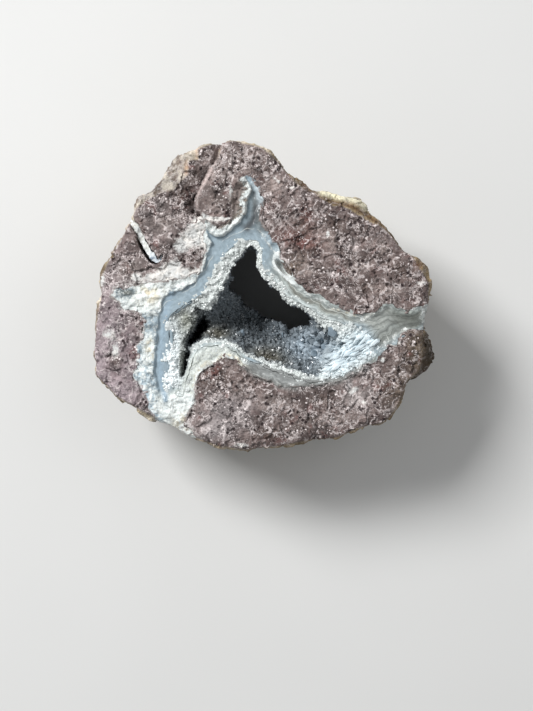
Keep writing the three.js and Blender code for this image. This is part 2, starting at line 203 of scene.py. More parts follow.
def hashed(cell, seed):
    """Repeatable number from 0 to 1 for each integer cell."""
    ix, iy, iz = [(cell[..., k] + HASH_OFFSET).astype(np.uint64) for k in range(3)]
    mixed = ix * np.uint64(73856093) ^ iy * np.uint64(19349663) ^ iz * np.uint64(83492791)
    mixed = (mixed ^ np.uint64(seed * 7919 + 17)) & np.uint64(HASH_TOP)
    for factor in (2246822519, 3266489917):
        mixed = (mixed ^ (mixed >> np.uint64(15))) * np.uint64(factor) & np.uint64(HASH_TOP)
    return (mixed ^ (mixed >> np.uint64(16))).astype(np.float64) / HASH_TOP


def noise(points, size, seed):
    """Smooth noise from -1 to 1 with features of the given size."""
    scaled = points / size
    cell = np.floor(scaled)
    part = scaled - cell
    part = part * part * (3 - 2 * part)
    cell = cell.astype(np.int64)
    total = 0.0
    for corner in np.ndindex(2, 2, 2):
        weight = np.prod(np.where(corner, part, 1 - part), axis=-1)
        total = total + weight * hashed(cell + np.array(corner), seed)
    return 2 * total - 1


def fractal(points, size, octaves, seed):
    """Noise summed over octaves, each half the size and strength of the one before."""
    return sum(noise(points, size / 2**k, seed + 31 * k) / 2**k for k in range(octaves))


def nearest_cell(points, size, seed):
    """Distance to the nearest scattered seed, offset from it, and four of its numbers."""
    scaled = points / size
    base = np.floor(scaled).astype(np.int64)
    best = np.full(points.shape[:-1], 9.0)
    offset = np.zeros(points.shape)
    owner = np.zeros(base.shape, np.int64)
    for step in np.ndindex(3, 3, 3):
        cell = base + np.array(step) - 1
        jitter = np.stack([hashed(cell, seed + k) for k in range(3)], axis=-1)
        away = scaled - (cell + jitter)
        distance = np.sqrt((away**2).sum(-1))
        closer = distance < best
        best = np.where(closer, distance, best)
        offset = np.where(closer[..., None], away, offset)
        owner = np.where(closer[..., None], cell, owner)
    numbers = [hashed(owner, seed + 10 + k) for k in range(4)]
    return best * size, offset * size, numbers


def facets(points, size, tilt, seed):
    """Broken-rock relief: flat cells, each with a tilt and a level of its own."""
    _, offset, numbers = nearest_cell(points, size, seed)
    slope = np.stack([2 * n - 1 for n in numbers[:3]], axis=-1)
    return (offset * slope).sum(-1) * tilt + (numbers[3] - 0.5) * tilt * size * 0.7


def smooth_step(value, low, high):
    share = np.clip((value - low) / (high - low), 0, 1)
    return share * share * (3 - 2 * share)


def smooth_max(a, b, width):
    share = np.clip(0.5 + (a - b) / (2 * width), 0, 1)
    return b + (a - b) * share + width * share * (1 - share)


def blob(x, y, cx, cy, rx, ry, turn=0):
    """Soft spot of weight 1 at its middle, with radii rx and ry, turned by some degrees."""
    c = math.cos(math.radians(turn))
    s = math.sin(math.radians(turn))
    u = ((x - cx) * c + (y - cy) * s) / rx
    v = ((y - cy) * c - (x - cx) * s) / ry
    return np.exp(-(u * u + v * v))


def blobs(x, y, spots):
    return np.clip(sum(blob(x, y, *spot) for spot in spots), 0, 1)


# ---------------------------------------------------------------------------------------
# Fields on the plan of the face
# ---------------------------------------------------------------------------------------
PLAN_PITCH = 0.25
PLAN_X = np.arange(-57, 57, PLAN_PITCH)
PLAN_Y = np.arange(-53, 53, PLAN_PITCH)
GX, GY = np.meshgrid(PLAN_X, PLAN_Y, indexing="ij")
PLAN = np.stack([GX, GY, np.zeros_like(GX)], axis=-1)


def line_distance(x, y, line):
    """Distance of places to an open line."""
    closest = np.full(x.shape, 1e9)
    for (x0, y0), (x1, y1) in zip(line, line[1:]):
        ex, ey = x1 - x0, y1 - y0
        along = np.clip(((x - x0) * ex + (y - y0) * ey) / (ex * ex + ey * ey), 0, 1)
        closest = np.minimum(closest, np.hypot(x - x0 - along * ex, y - y0 - along * ey))
    return closest


def signed(outline):
    """Distance on the plan to an outline, negative inside it."""
    closed = outline + outline[:1]
    inside = np.zeros(GX.shape, bool)
    for (x0, y0), (x1, y1) in zip(closed, closed[1:]):
        if y0 != y1:
            crosses = (y0 > GY) != (y1 > GY)
            inside ^= crosses & (GX < x0 + (GY - y0) * (x1 - x0) / (y1 - y0))
    closest = line_distance(GX, GY, closed)
    return np.where(inside, -closest, closest)


def stroke(x, y, line, width):
    """Soft line of weight 1 on its middle."""
    return np.exp(-((line_distance(x, y, line) / width) ** 2))


def on_plan(field, x, y):
    """Value of a plan field at any places, by straight interpolation."""
    u = np.clip((x - PLAN_X[0]) / PLAN_PITCH, 0, len(PLAN_X) - 1.001)
    v = np.clip((y - PLAN_Y[0]) / PLAN_PITCH, 0, len(PLAN_Y) - 1.001)
    i, j = u.astype(int), v.astype(int)
    fu, fv = u - i, v - j
    low = field[i, j] * (1 - fv) + field[i, j + 1] * fv
    high = field[i + 1, j] * (1 - fv) + field[i + 1, j + 1] * fv
    return low * (1 - fu) + high * fu


stone_edge = signed(SILHOUETTE)
crest_edge = signed(FACE_CREST)
wobble = 0.45 * fractal(PLAN, 2.4, 2, 3) + 0.2 * noise(PLAN, 0.9, 4)
lining_edge = signed(LINING_EDGE) + wobble
druse_edge = signed(DRUSE_EDGE) + 0.35 * noise(PLAN, 1.6, 5)
mouth_edge = signed(CAVITY_MOUTH) + 0.3 * noise(PLAN, 1.1, 8)
hole_edge = signed(BACK_HOLE)
side_hole_edge = signed(SIDE_HOLE)
crack_edge = signed(CRACK)
vein_edge = signed(VEIN) + 0.45 * fractal(PLAN, 1.9, 2, 62)
island_edge = signed(ISLAND)
ledge_edge = signed(LEDGE) + 0.25 * noise(PLAN, 1.3, 9)
crust_edge = signed(CRUST) + 0.35 * fractal(PLAN, 2.0, 2, 19)
step_distance = line_distance(GX, GY, STEP_LINE)
step_x = np.interp(GY, [p[1] for p in STEP_LINE][::-1], [p[0] for p in STEP_LINE][::-1])
left_of_step = (GX < step_x) & (GY > 22)


def base_height():
    """Height of the broken face without its fine relief."""
    height = FACE_HEIGHT + 0.03 * GX + 0.06 * GY
    height -= left_of_step * 4.2 * np.exp(-step_distance / 7)
    height -= 1.6 * np.exp(np.minimum(stone_edge, 0) / 1.4)
    height -= 0.95 * np.maximum(crest_edge, 0)
    height += 1.5 * smooth_step(-ledge_edge, -0.3, 0.5) * smooth_step(-GY, -40, -33)
    trough = -ledge_edge + 0.9 * fractal(PLAN, 2.4, 2, 27)
    height -= 0.5 * smooth_step(trough, 1.4, 3.0) * smooth_step(island_edge, -0.8, 0.8)
    height -= 0.06 * np.maximum(-27 - GX, 0) * smooth_step(GY, 8, 20)
    height -= 1.1 * smooth_step(-vein_edge, -0.1, 0.4)
    below_vein = smooth_step(-GX - 0.55 * GY, 22.6, 24.2) * smooth_step(-crest_edge, 0, 2)
    height -= 1.3 * below_vein * blob(GX, GY, -37, 16, 4.5, 9, -30)
    return height


def rock_relief(points):
    """Fracture relief of the rock in mm, for points on any side."""
    coarse = 0.45 * fractal(points, 9, 2, 11)
    rough = smooth_step(noise(points, 6, 16), -0.5, 0.5)
    middle = facets(points + 3, 3.4, 0.22, 12)
    fine = facets(points - 5, 1.3, 0.45, 13) * (0.15 + 0.85 * rough)
    distance, _, numbers = nearest_cell(points, 2.1, 14)
    radius = 0.35 + 0.5 * numbers[1]
    pits = np.where(numbers[0] > 0.55, 1.0, 0.0) * smooth_step(radius - distance, 0, 0.3)
    return coarse + middle + 0.7 * fine + 0.1 * noise(points, 0.6, 15) - 0.75 * pits


face = base_height()
rock_top = face + rock_relief(PLAN)
away_from_rock = -lining_edge
crust = np.exp(-np.clip(away_from_rock, 0, None) / 1.6)
lens = blob(GX, GY, 6.4, 8.6, 3.6, 1.15, -45)
on_crust = np.maximum(smooth_step(-crust_edge, -0.1, 0.7), smooth_step(-GY, 28, 31))
on_lobe = stroke(GX, GY, LOBE_RIM, 2.6)
lining_top = (
    face
    - 0.9 * smooth_step(away_from_rock, 0.3, 2.2) * (1 - on_crust)
    + 0.4 * np.maximum(crust, 1.2 * on_crust) * fractal(PLAN, 1.6, 3, 21)
    + on_crust * facets(PLAN, 1.7, 0.2, 24)
    + on_lobe * (0.35 * fractal(PLAN, 1.3, 2, 25) + 0.25)
    + smooth_step(-ledge_edge, 0, 0.6) * (0.5 * rock_relief(PLAN) + facets(PLAN, 1.5, 0.4, 26))
    + 0.22 * fractal(PLAN, 5.5, 2, 22)
    + 0.05 * noise(PLAN, 0.9, 23)
    - 3.2 * smooth_step(lens, 0.35, 0.75)
)
druse_top = (
    face
    - 1.0
    - 0.9 * np.exp(-np.clip(mouth_edge, 0, None) / 0.9)
    + 0.3 * fractal(PLAN, 1.8, 2, 31)
)

# ---------------------------------------------------------------------------------------
# Solids as fields in space
# ---------------------------------------------------------------------------------------
PITCH = 0.6
AXES = [np.arange(-57, 57, PITCH), np.arange(-52, 52, PITCH), np.arange(-3, 54, PITCH)]
VX, VY, VZ = np.meshgrid(*AXES, indexing="ij")
SPACE = np.stack([VX, VY, VZ], axis=-1)
# How far the side of the stone reaches at some heights, as a share of its outline. The
# heights are for a face 45 mm up.
SIDE_HEIGHTS = np.array([-3, 0, 2.5, 8, 16, 26, 34, 60]) / 45 * FACE_HEIGHT
SIDE_SHARES = [0.69, 0.71, 0.8, 0.885, 0.95, 0.988, 1.0, 1.0]
SMOOTHING = 15  # degrees to each side over which the lower outline is smoothed


def column(field):
    """Plan field as a slab that spreads over all heights."""
    flat = on_plan(field, VX[:, :, 0], VY[:, :, 0])
    return flat[:, :, None]


below_face = column(face) - VZ
depth_share = np.clip(below_face / FACE_HEIGHT, 0, 1)


def silhouette_reach():
    """Distance from the middle to the silhouette for each degree, sharp and smoothed."""
    angles = np.radians(np.arange(360))
    radii = np.linspace(0, 56, 561)
    px = np.cos(angles)[:, None] * radii
    py = np.sin(angles)[:, None] * radii
    inside = on_plan(stone_edge, px, py) < 0
    sharp = inside.sum(1) * (radii[1] - radii[0])
    kernel = np.hanning(2 * SMOOTHING + 1)
    wrapped = np.concatenate([sharp[-SMOOTHING:], sharp, sharp[:SMOOTHING]])
    smooth = np.convolve(wrapped, kernel / kernel.sum(), "valid")
    return sharp, smooth


def stone_sides():
    """Field of the rounded back and sides of the stone."""
    sharp, smooth = silhouette_reach()
    angle = np.degrees(np.arctan2(VY[:, :, 0], VX[:, :, 0])) % 360
    degrees = np.arange(361)
    reach_sharp = np.interp(angle, degrees, np.append(sharp, sharp[0]))[:, :, None]
    reach_smooth = np.interp(angle, degrees, np.append(smooth, smooth[0]))[:, :, None]
    radius = np.hypot(VX, VY)
    share = np.interp(AXES[2], SIDE_HEIGHTS, SIDE_SHARES)
    sharpness = smooth_step(AXES[2], 12, 32)
    reach = reach_smooth + (reach_sharp - reach_smooth) * sharpness
    lumps = 1.5 * fractal(SPACE, 17, 2, 41) * (1 - sharpness)
    return (radius - reach * share) * 0.95 - lumps * smooth_step(AXES[2], 1, 7)


# Narrow slit between the left wall and the lobe.
SLIT_LINE = [(-22.3, -16.8), (-22.6, -18.5), (-23.1, -21.5), (-23.8, -24)]
# Places on the cavity floor and their depth below the face.
FLOOR_DEPTHS = [
    (-26, -8, 1.2), (-24, -6, 2.2), (-22.8, -9.5, 3), (-22, -4, 3), (-20.5, -5.5, 4),
    (-17, -8, 13), (-17.5, -4, 7), (-12.5, -3, 19), (-14, -10.5, 5.5), (-16.5, -12, 4.5),
    (-11, -12.5, 5), (-18, -12.5, 6), (-12, -8, 15), (-9, -7, 22), (-5, -7, 25),
    (-10, 0, 27), (0, -9, 25), (-5, -12, 17), (2, -12, 19), (-3, -14.5, 12),
    (2, -17, 10), (7, -12, 21), (8, -16, 16), (5, -20, 6),
    (10, -21.5, 8), (12, -18, 17), (12, -13.5, 17), (15, -11, 15), (16, -15, 14),
    (19, -12, 12), (19.5, -16.5, 10), (22, -10.5, 9), (22.5, -14, 7), (15, -20, 12),
    (19, -20.5, 7), (16, -23, 5), (24, -18, 4), (27, -15, 2.2), (25, -12, 4.5),
    (21, -22, 3), (-26, -15, 2), (-24.6, -15.5, 2.4), (-24.4, -18, 2.4),
    (-24.6, -21, 2.4), (-25, -24, 2.4), (-24.8, -27, 2), (-22.6, -15.6, 3.4),
    (-22.5, -17.4, 9), (-22.9, -20, 14), (-23.3, -22, 14), (-23.9, -24.5, 6),
]


def floor_depth():
    """Depth of the cavity floor below the broken face, for each place on the plan."""
    total = np.zeros(GX.shape)
    weights = np.zeros(GX.shape)
    for cx, cy, depth in FLOOR_DEPTHS:
        weight = 1 / (0.8 + (GX - cx) ** 2 + (GY - cy) ** 2) ** 1.7
        total += weight * depth
        weights += weight
    depth = total / weights
    inward = np.clip(-mouth_edge, 0, None)
    slope = 2.6 - 1.4 * blobs(GX, GY, [(-25, -7, 4, 6), (26, -14, 7, 6)])
    slope = slope + 16 * stroke(GX, GY, SLIT_LINE, 0.55)
    return np.minimum(depth, 1.0 + slope * inward)


def cavity():
    """Field of the open cavity, negative in the open."""
    lumps = 1.2 * noise(SPACE, 6.0, 51) + 0.7 * noise(SPACE, 2.6, 52)
    lumps = lumps * np.clip(depth_share * 5, 0, 1)
    loft = (1 - depth_share) * column(mouth_edge) + depth_share * column(hole_edge)
    loft = loft + lumps * (1 - depth_share)
    above_floor = (below_face - column(floor_depth()) - lumps) * 0.6
    room = np.maximum(column(mouth_edge), above_floor)
    way_out = np.maximum(column(hole_edge) + 0.4 * lumps, loft)
    side = column(side_hole_edge) - 0.8 + 0.3 * lumps
    return np.minimum(np.minimum(room, way_out), side)


sides = stone_sides()
void = cavity()
druse_back = np.minimum(
    (1 - depth_share) * column(druse_edge) + depth_share * (column(hole_edge) - 2.2),
    column(side_hole_edge) - 2.0,
)
druse_back = np.minimum(druse_back, void - 1.4)
# The seams narrow, sway and end with depth; below the cavity the lining follows the druse.
seam_taper = below_face * (0.27 + 0.2 * noise(SPACE, 7, 55))
seam_sway = 1.4 * noise(SPACE, 3.4, 56) * smooth_step(below_face, 1, 5)
lining_back = np.minimum(
    np.maximum(column(lining_edge) + seam_taper + seam_sway, below_face - SEAM_DEPTH),
    druse_back - np.clip(0.4 * below_face - 0.4, 0.2, 4.2),
)


def solid_between(top, *others):
    """Field of the stone's body below a top and inside all the other fields."""
    body = smooth_max(sides, VZ - column(top), 0.5)
    for other in (-VZ, *others):
        body = np.maximum(body, other)
    return body


# Small deep holes in the rock: middle and radii.
HOLES = [(-20.4, 29, 0.8, 2.0), (-18.9, 24.4, 0.9, 0.7), (-45, 12.4, 1.1, 0.8)]
HOLE_DEPTH = 5
CRACK_DEPTH = 8
VEIN_DEPTH = 7
CRACK_TAPER = 0.09  # narrowing of the crack and its vein to each side, per mm of depth
JOIN = 0.3  # the rock and the lining run this far into each other
QUARTZ_JOIN = 0.9  # and the druse this far under the lining
rock_field = solid_between(
    rock_top,
    -(lining_back + JOIN),
    -np.maximum(column(crack_edge) + CRACK_TAPER * below_face, FACE_HEIGHT - CRACK_DEPTH - VZ),
)
for cx, cy, rx, ry in HOLES:
    hole = (np.hypot((VX - cx) / rx, (VY - cy) / ry) - 1) * min(rx, ry)
    rock_field = np.maximum(rock_field, -np.maximum(hole, below_face - HOLE_DEPTH))
lining_field = solid_between(lining_top, lining_back - JOIN, -(druse_back + JOIN), 0.6 - VZ)
vein_top = face - 0.5 + 0.45 * fractal(PLAN, 1.5, 2, 61)
vein_field = solid_between(
    vein_top,
    column(vein_edge) + CRACK_TAPER * below_face + 0.05,
    FACE_HEIGHT - VEIN_DEPTH - VZ,
)
druse_field = solid_between(druse_top, druse_back - QUARTZ_JOIN, -void, 2.0 - VZ)


# ---------------------------------------------------------------------------------------
# Fields to meshes
# ---------------------------------------------------------------------------------------
PLAN_MIDDLE = np.array([
    (min(p[0] for p in SILHOUETTE) + max(p[0] for p in SILHOUETTE)) / 2,
    (min(p[1] for p in SILHOUETTE) + max(p[1] for p in SILHOUETTE)) / 2,
    0,
])
FRAME_MIDDLE = np.array([
    (CAD_BOX[0][0] + CAD_BOX[1][0]) / 2 / MM,
    (CAD_BOX[0][1] + CAD_BOX[1][1]) / 2 / MM,
    CAD_BOX[0][2] / MM,
])
TO_FRAME = FRAME_MIDDLE - PLAN_MIDDLE


def surface(field):
    """Points and quads of the zero surface of a field, largest connected skin only."""
    grid = openvdb.FloatGrid(3.0)
    grid.copyFromArray(np.clip(field, -3, 3).astype(np.float32))
    points, quads = grid.convertToQuads(0.0)
    points = np.array(points, float) * PITCH + np.array([axis[0] for axis in AXES])
    quads = np.array(quads, int)
    label = np.arange(len(points))
    while True:
        lowest = label[quads].min(1)
        before = label.copy()
        for k in range(4):
            np.minimum.at(label, quads[:, k], lowest)
        label = label[label]
        if (label == before).all():
            break
    names, counts = np.unique(label, return_counts=True)
    kept = label == names[counts.argmax()]
    number = np.cumsum(kept) - 1
    return points[kept], number[quads[kept[quads[:, 0]]]]


def new_mesh(name, points, faces):
    mesh = bpy.data.meshes.new(name)
    mesh.from_pydata(points.tolist(), [], faces.tolist() if hasattr(faces, "tolist") else faces)
    mesh.update()
    return mesh


def vertex_array(mesh, what):
    """One row of three numbers for each vertex: its place (co) or its normal."""
    values = np.empty(len(mesh.vertices) * 3, np.float32)
    mesh.vertices.foreach_get(what, values)
    return values.reshape(-1, 3).astype(float)


def set_points(mesh, points):
    mesh.vertices.foreach_set("co", points.astype(np.float32).ravel())
    mesh.update()


def refine_face(mesh):
    """Splits the faces of the broken face, the part that shows best, in four."""
    bm = bmesh.new()
    bm.from_mesh(mesh)
    edges = {}
    for f in bm.faces:
        if f.calc_center_median().z > FACE_HEIGHT - 9 and f.normal.z > 0.3:
            edges.update(dict.fromkeys(f.edges))
    bmesh.ops.subdivide_edges(bm, edges=list(edges), cuts=1, use_grid_fill=True)
    bmesh.ops.triangulate(bm, faces=[f for f in bm.faces if len(f.verts) > 4])
    bm.to_mesh(mesh)
    bm.free()


def give(mesh, name, values):
    """Stores a number or a colour on each vertex."""
    if values.ndim == 1:
        layer = mesh.attributes.new(name, "FLOAT", "POINT")
        layer.data.foreach_set("value", values.astype(np.float32))
        return
    rgba = np.concatenate([values, np.ones((len(values), 1))], axis=1)
    layer = mesh.attributes.new(name, "FLOAT_COLOR", "POINT")
    layer.data.foreach_set("color", rgba.astype(np.float32).ravel())


def linear(red, green, blue):
    """Linear colour from display values of 0 to 255."""
    return np.array([
        ((v / 255 + 0.055) / 1.055) ** 2.4 if v > 10.3 else v / 255 / 12.92
        for v in (red, green, blue)
    ])


def painted(base, layers, count):
    """Base colour covered in turn by (colour, weight) layers."""
    colour = np.tile(base, (count, 1))
    for over, weight in layers:
        share = np.clip(weight, 0, 1)[:, None]
        colour = colour * (1 - share) + over * share
    return colour


def add_piece(name, mesh, material, slot, *nodes):
    """Puts a finished mesh in the frame in place of its CAD nodes."""
    set_points(mesh, (vertex_array(mesh, "co") + TO_FRAME) * MM)
    mesh.materials.append(material)
    piece = bpy.data.objects.new(name, mesh)
    bpy.context.scene.collection.objects.link(piece)
    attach(piece, "root")
    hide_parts(*nodes)


def settle_top(mesh, top, spread):
    """Moves the vertices of an upward surface onto its fine height field."""
    points = vertex_array(mesh, "co")
    normals = vertex_array(mesh, "normal")
    target = on_plan(top, points[:, 0], points[:, 1])
    near = smooth_step(spread - np.abs(target - points[:, 2]), 0, spread * 0.5)
    weight = smooth_step(normals[:, 2], 0.2, 0.55) * near
    points[:, 2] += (target - points[:, 2]) * weight
    return points, normals, weight


# ---------------------------------------------------------------------------------------
# Materials
# ---------------------------------------------------------------------------------------
class Nodes:
    """Short hand for building a node material."""

    def __init__(self, name):
        self.material = bpy.data.materials.new(name)
        self.material.use_nodes = True
        self.tree = self.material.node_tree
        self.tree.nodes.clear()
        self.output = self.new("OutputMaterial")
        self.shader = self.new("BsdfPrincipled")
        self.link(self.shader.outputs["BSDF"], self.output.inputs["Surface"])
        mapping = self.new("Mapping", Scale=(1 / MM,) * 3)
        self.link(self.new("TexCoord").outputs["Object"], mapping.inputs["Vector"])
        self.place = mapping.outputs["Vector"]

    def link(self, source, target):
        self.tree.links.new(source, target)

    def put(self, socket, value):
        if hasattr(value, "is_output"):
            self.link(value, socket)
        elif socket.type == "RGBA" and len(value) == 3:
            socket.default_value = (*value, 1)
        else:
            socket.default_value = value

    def put_all(self, node, **values):
        """Sets sockets by name, with each space written as an underscore."""
        for name, value in values.items():
            self.put(node.inputs[name.replace("_", " ")], value)

    def new(self, kind, **values):
        node = self.tree.nodes.new("ShaderNode" + kind)
        self.put_all(node, **values)
        return node

    def noise(self, size, detail=3, roughness=0.55, distortion=0.0):
        node = self.new("TexNoise", Vector=self.place, Scale=1 / size, Detail=detail,
                        Roughness=roughness, Distortion=distortion)
        return node.outputs["Fac"]

    def layers(self, position, size, detail=2):
        """Irregular layers stacked along a distance in mm."""
        node = self.new("TexNoise", Scale=1 / size, Detail=detail, Roughness=0.6)
        node.noise_dimensions = "1D"
        self.link(position, node.inputs["W"])
        return node.outputs["Fac"]

    def cells(self, size):
        """Distance from the nearest of many scattered points."""
        return self.new("TexVoronoi", Vector=self.place, Scale=1 / size).outputs["Distance"]

    def patches(self, size):
        """Irregular patches: a random value for each, and the distance from its edge."""
        wander = self.new("TexNoise", Vector=self.place, Scale=2 / size, Detail=3)
        moved = self.new("VectorMath")
        moved.operation = "MULTIPLY_ADD"
        self.link(wander.outputs["Color"], moved.inputs[0])
        moved.inputs[1].default_value = (0.9 * size,) * 3
        self.link(self.place, moved.inputs[2])
        found = []
        for feature, output in (("F1", "Color"), ("DISTANCE_TO_EDGE", "Distance")):
            node = self.new("TexVoronoi", Vector=moved.outputs["Vector"], Scale=1 / size)
            node.feature = feature
            found.append(node.outputs[output])
        return found

    def attribute(self, name, output):
        node = self.new("Attribute")
        node.attribute_name = name
        return node.outputs[output]

    def number(self, name):
        return self.attribute(name, "Fac")

    def colour(self, name):
        return self.attribute(name, "Color")

    def math(self, kind, a, b=0.0):
        node = self.new("Math")
        node.operation = kind
        self.put(node.inputs[0], a)
        self.put(node.inputs[1], b)
        return node.outputs["Value"]

    def times(self, a, b):
        return self.math("MULTIPLY", a, b)

    def plus(self, a, b):
        return self.math("ADD", a, b)

    def highest(self, a, b):
        return self.math("MAXIMUM", a, b)

    def away_from(self, value, middle):
        """Distance of a number from a middle value."""
        return self.math("ABSOLUTE", self.math("SUBTRACT", value, middle))

    def swing(self, reach, *noise):
        """Noise that swings about zero."""
        return self.times(self.math("SUBTRACT", self.noise(*noise), 0.5), reach)

    def ramp(self, value, low, high, to_low=0.0, to_high=1.0):
        """Smooth step from one number at low to another at high."""
        node = self.new("MapRange", Value=value, From_Min=low, From_Max=high, To_Min=to_low,
                        To_Max=to_high)
        node.interpolation_type = "SMOOTHSTEP"
        return node.outputs["Result"]

    def mix(self, share, a, b, blend="MIX"):
        node = self.new("Mix")
        node.data_type = "RGBA"
        node.blend_type = blend
        self.put(node.inputs[0], share)
        self.put(node.inputs[6], a)
        self.put(node.inputs[7], b)
        return node.outputs[2]

    def tinted(self, base, factor):
        """A colour multiplied by a number."""
        return self.mix(1.0, base, factor, "MULTIPLY")

    def mix_numbers(self, share, a, b):
        node = self.new("Mix")
        self.put(node.inputs[0], share)
        self.put(node.inputs[2], a)
        self.put(node.inputs[3], b)
        return node.outputs[0]

    def bump(self, height, strength, distance_mm):
        node = self.new("Bump", Strength=strength, Distance=distance_mm * MM, Height=height)
        self.link(node.outputs["Normal"], self.shader.inputs["Normal"])

    def finish(self, colour, roughness, **constants):
        self.put_all(self.shader, Base_Color=colour, Roughness=roughness, **constants)
        return self.material


def rock_material():
    n = Nodes("speckled_rock")
    patch, edge = n.patches(4.4)
    plain = n.ramp(patch, 0.5, 0.58)
    speckle = n.times(n.number("speckle"), n.mix_numbers(plain, 1.0, 0.3))
    grain = n.times(n.ramp(n.cells(1.05), 0.44, 0.2), n.ramp(n.noise(1.5), 0.5, 0.6))
    sliver = n.times(n.ramp(n.cells(0.5), 0.42, 0.15), n.ramp(n.noise(3.4, 4), 0.47, 0.58))
    vein = n.ramp(n.away_from(n.noise(2.6, 5, 0.68, 1.0), 0.5), 0.035, 0.006)
    vein = n.times(vein, n.ramp(n.noise(4.4), 0.42, 0.56))
    outline = n.times(n.ramp(edge, 0.07, 0.02), n.ramp(n.noise(2.6), 0.44, 0.6))
    pit = n.times(n.ramp(n.cells(1.7), 0.4, 0.22), n.ramp(n.noise(2.4), 0.45, 0.52))
    dark = n.ramp(n.noise(0.85, 4, 0.75), 0.42, 0.3)
    cloud = n.ramp(n.noise(4.5, 4, 0.6), 0.3, 0.7, 0.68, 1.28)
    mottle = n.ramp(n.noise(0.6, 5, 0.8), 0.3, 0.7, 0.66, 1.2)
    mottle = n.times(mottle, n.ramp(patch, 0.25, 0.75, 0.84, 1.14))
    base = n.tinted(n.colour("tone"), n.times(cloud, mottle))
    red = n.times(n.ramp(n.noise(5.0, 3), 0.55, 0.7), 0.4)
    base = n.mix(n.times(red, speckle), base, linear(124, 78, 74))
    pale = n.times(n.highest(grain, n.times(n.highest(sliver, vein), 0.75)), speckle)
    pale = n.highest(pale, n.times(outline, n.times(n.number("speckle"), 0.55)))
    base = n.mix(pale, base, linear(238, 228, 226))
    low = n.times(n.highest(pit, n.times(dark, 0.6)), speckle)
    base = n.mix(n.times(low, 0.92), base, linear(42, 30, 32))
    bleach = n.swing(1.5, 1.1, 5, 0.75)
    white = n.ramp(n.plus(n.number("altered"), bleach), 0.32, 0.75, 0, 0.92)
    pale_patch = n.ramp(n.noise(2.6, 3), 0.4, 0.6)
    bleached = n.mix(pale_patch, linear(212, 213, 211), linear(232, 229, 224))
    base = n.mix(white, base, bleached)
    relief = n.math("SUBTRACT", n.noise(0.45, 5, 0.7), n.times(pit, 0.8))
    n.bump(n.plus(relief, n.times(pale, 0.4)), 0.6, 0.4)
    return n.finish(base, n.ramp(n.noise(0.9), 0.3, 0.7, 0.6, 0.95), Specular_IOR_Level=0.25)


def chalcedony_material():
    n = Nodes("banded_chalcedony")
    inner = n.plus(n.number("from_druse"), n.swing(1.6, 3.5, 3))
    outer = n.plus(n.number("contact"), n.swing(1.3, 1.6, 3))
    layer = n.times(n.ramp(n.layers(outer, 0.8), 0.34, 0.66, -1, 1), n.number("layering"))
    base = n.tinted(n.colour("tone"), n.ramp(n.layers(inner, 1.1, 1), 0.3, 0.7, 0.94, 1.05))
    base = n.tinted(base, n.plus(1.0, layer))
    base = n.tinted(base, n.ramp(n.noise(1.4, 5, 0.65), 0.3, 0.7, 0.86, 1.13))
    line = n.ramp(n.away_from(inner, 2.9), 0.16, 0.03)
    line = n.times(line, n.ramp(n.noise(4.0), 0.42, 0.55))
    base = n.mix(n.times(line, 0.55), base, linear(222, 226, 220))
    grit = n.swing(1.7, 1.0, 5, 0.75)
    share = n.ramp(n.plus(n.number("chalk"), grit), 0.3, 0.7)
    white_patch = n.ramp(n.noise(1.8, 4), 0.42, 0.62)
    chalky = n.mix(white_patch, linear(228, 233, 231), n.colour("chalk_tone"))
    base = n.mix(share, base, chalky)
    grey = n.ramp(n.noise(0.8, 5, 0.75), 0.46, 0.36)
    base = n.mix(n.times(n.times(grey, share), 0.5), base, linear(150, 150, 146))
    stain = n.ramp(n.plus(n.number("rocky"), n.swing(1.6, 1.2, 5, 0.75)), 0.35, 0.7, 0, 0.85)
    base = n.mix(stain, base, linear(136, 124, 120))
    n.bump(n.times(n.noise(0.6, 5, 0.7), n.highest(share, stain)), 0.7, 0.4)
    return n.finish(base, n.mix_numbers(share, 0.3, 0.75), Specular_IOR_Level=0.45,
                    Subsurface_Weight=0.1, Subsurface_Radius=(0.0018, 0.002, 0.0022),
                    Subsurface_Scale=1.0)


def quartz_material(name, roughness, bump):
    n = Nodes(name)
    base = n.tinted(n.colour("tone"), n.ramp(n.noise(2.6, 3), 0.3, 0.7, 0.82, 1.14))
    n.bump(n.noise(0.5, 3, 0.6), bump, 0.2)
    return n.finish(base, n.ramp(n.noise(1.1), 0.3, 0.7, roughness, roughness + 0.16),
                    Specular_IOR_Level=0.5, IOR=1.54, Coat_Weight=0.12, Coat_Roughness=0.06)


def vein_material():
    n = Nodes("white_vein")
    streak = n.ramp(n.noise(1.0, 5, 0.7, 0.8), 0.4, 0.62)
    base = n.mix(streak, n.colour("tone"), linear(224, 228, 228))
    stain = n.ramp(n.noise(0.8, 5, 0.75), 0.58, 0.68, 0, 0.5)
    base = n.mix(stain, base, linear(128, 116, 112))
    n.bump(n.noise(0.7, 4, 0.6), 0.4, 0.3)
    return n.finish(base, 0.55, Specular_IOR_Level=0.45)


# ---------------------------------------------------------------------------------------
# The rock
# ---------------------------------------------------------------------------------------
def side_relief(points):
    """Knobbly weathered relief of the outside of the nodule, in mm."""
    return (
        0.55 * fractal(points, 9, 3, 71)
        + facets(points, 5.5, 0.14, 72)
        + facets(points, 1.9, 0.2, 73)
    )


# Grey contact below the cavity, shared with the lining.
CONTACT_BELOW = [
    (-5, -21.2), (-1.5, -23.6), (3, -25.6), (6, -26.8), (10, -27.2), (14, -26.4),
    (18, -25.8), (22, -25.4), (25, -24.2), (28, -22.4), (31, -20.6),
]
# Brown streak and cream knob of the weathered rind at the upper right.
RIND_STREAK = [(15, 32), (18, 29.5), (22, 27.8), (27, 27), (31, 24.5), (35, 21.6), (39, 18)]
PALE_KNOB = [(18, 31.4), (21, 30.6), (24, 30), (27.5, 29.4), (30, 28.4), (31, 27)]


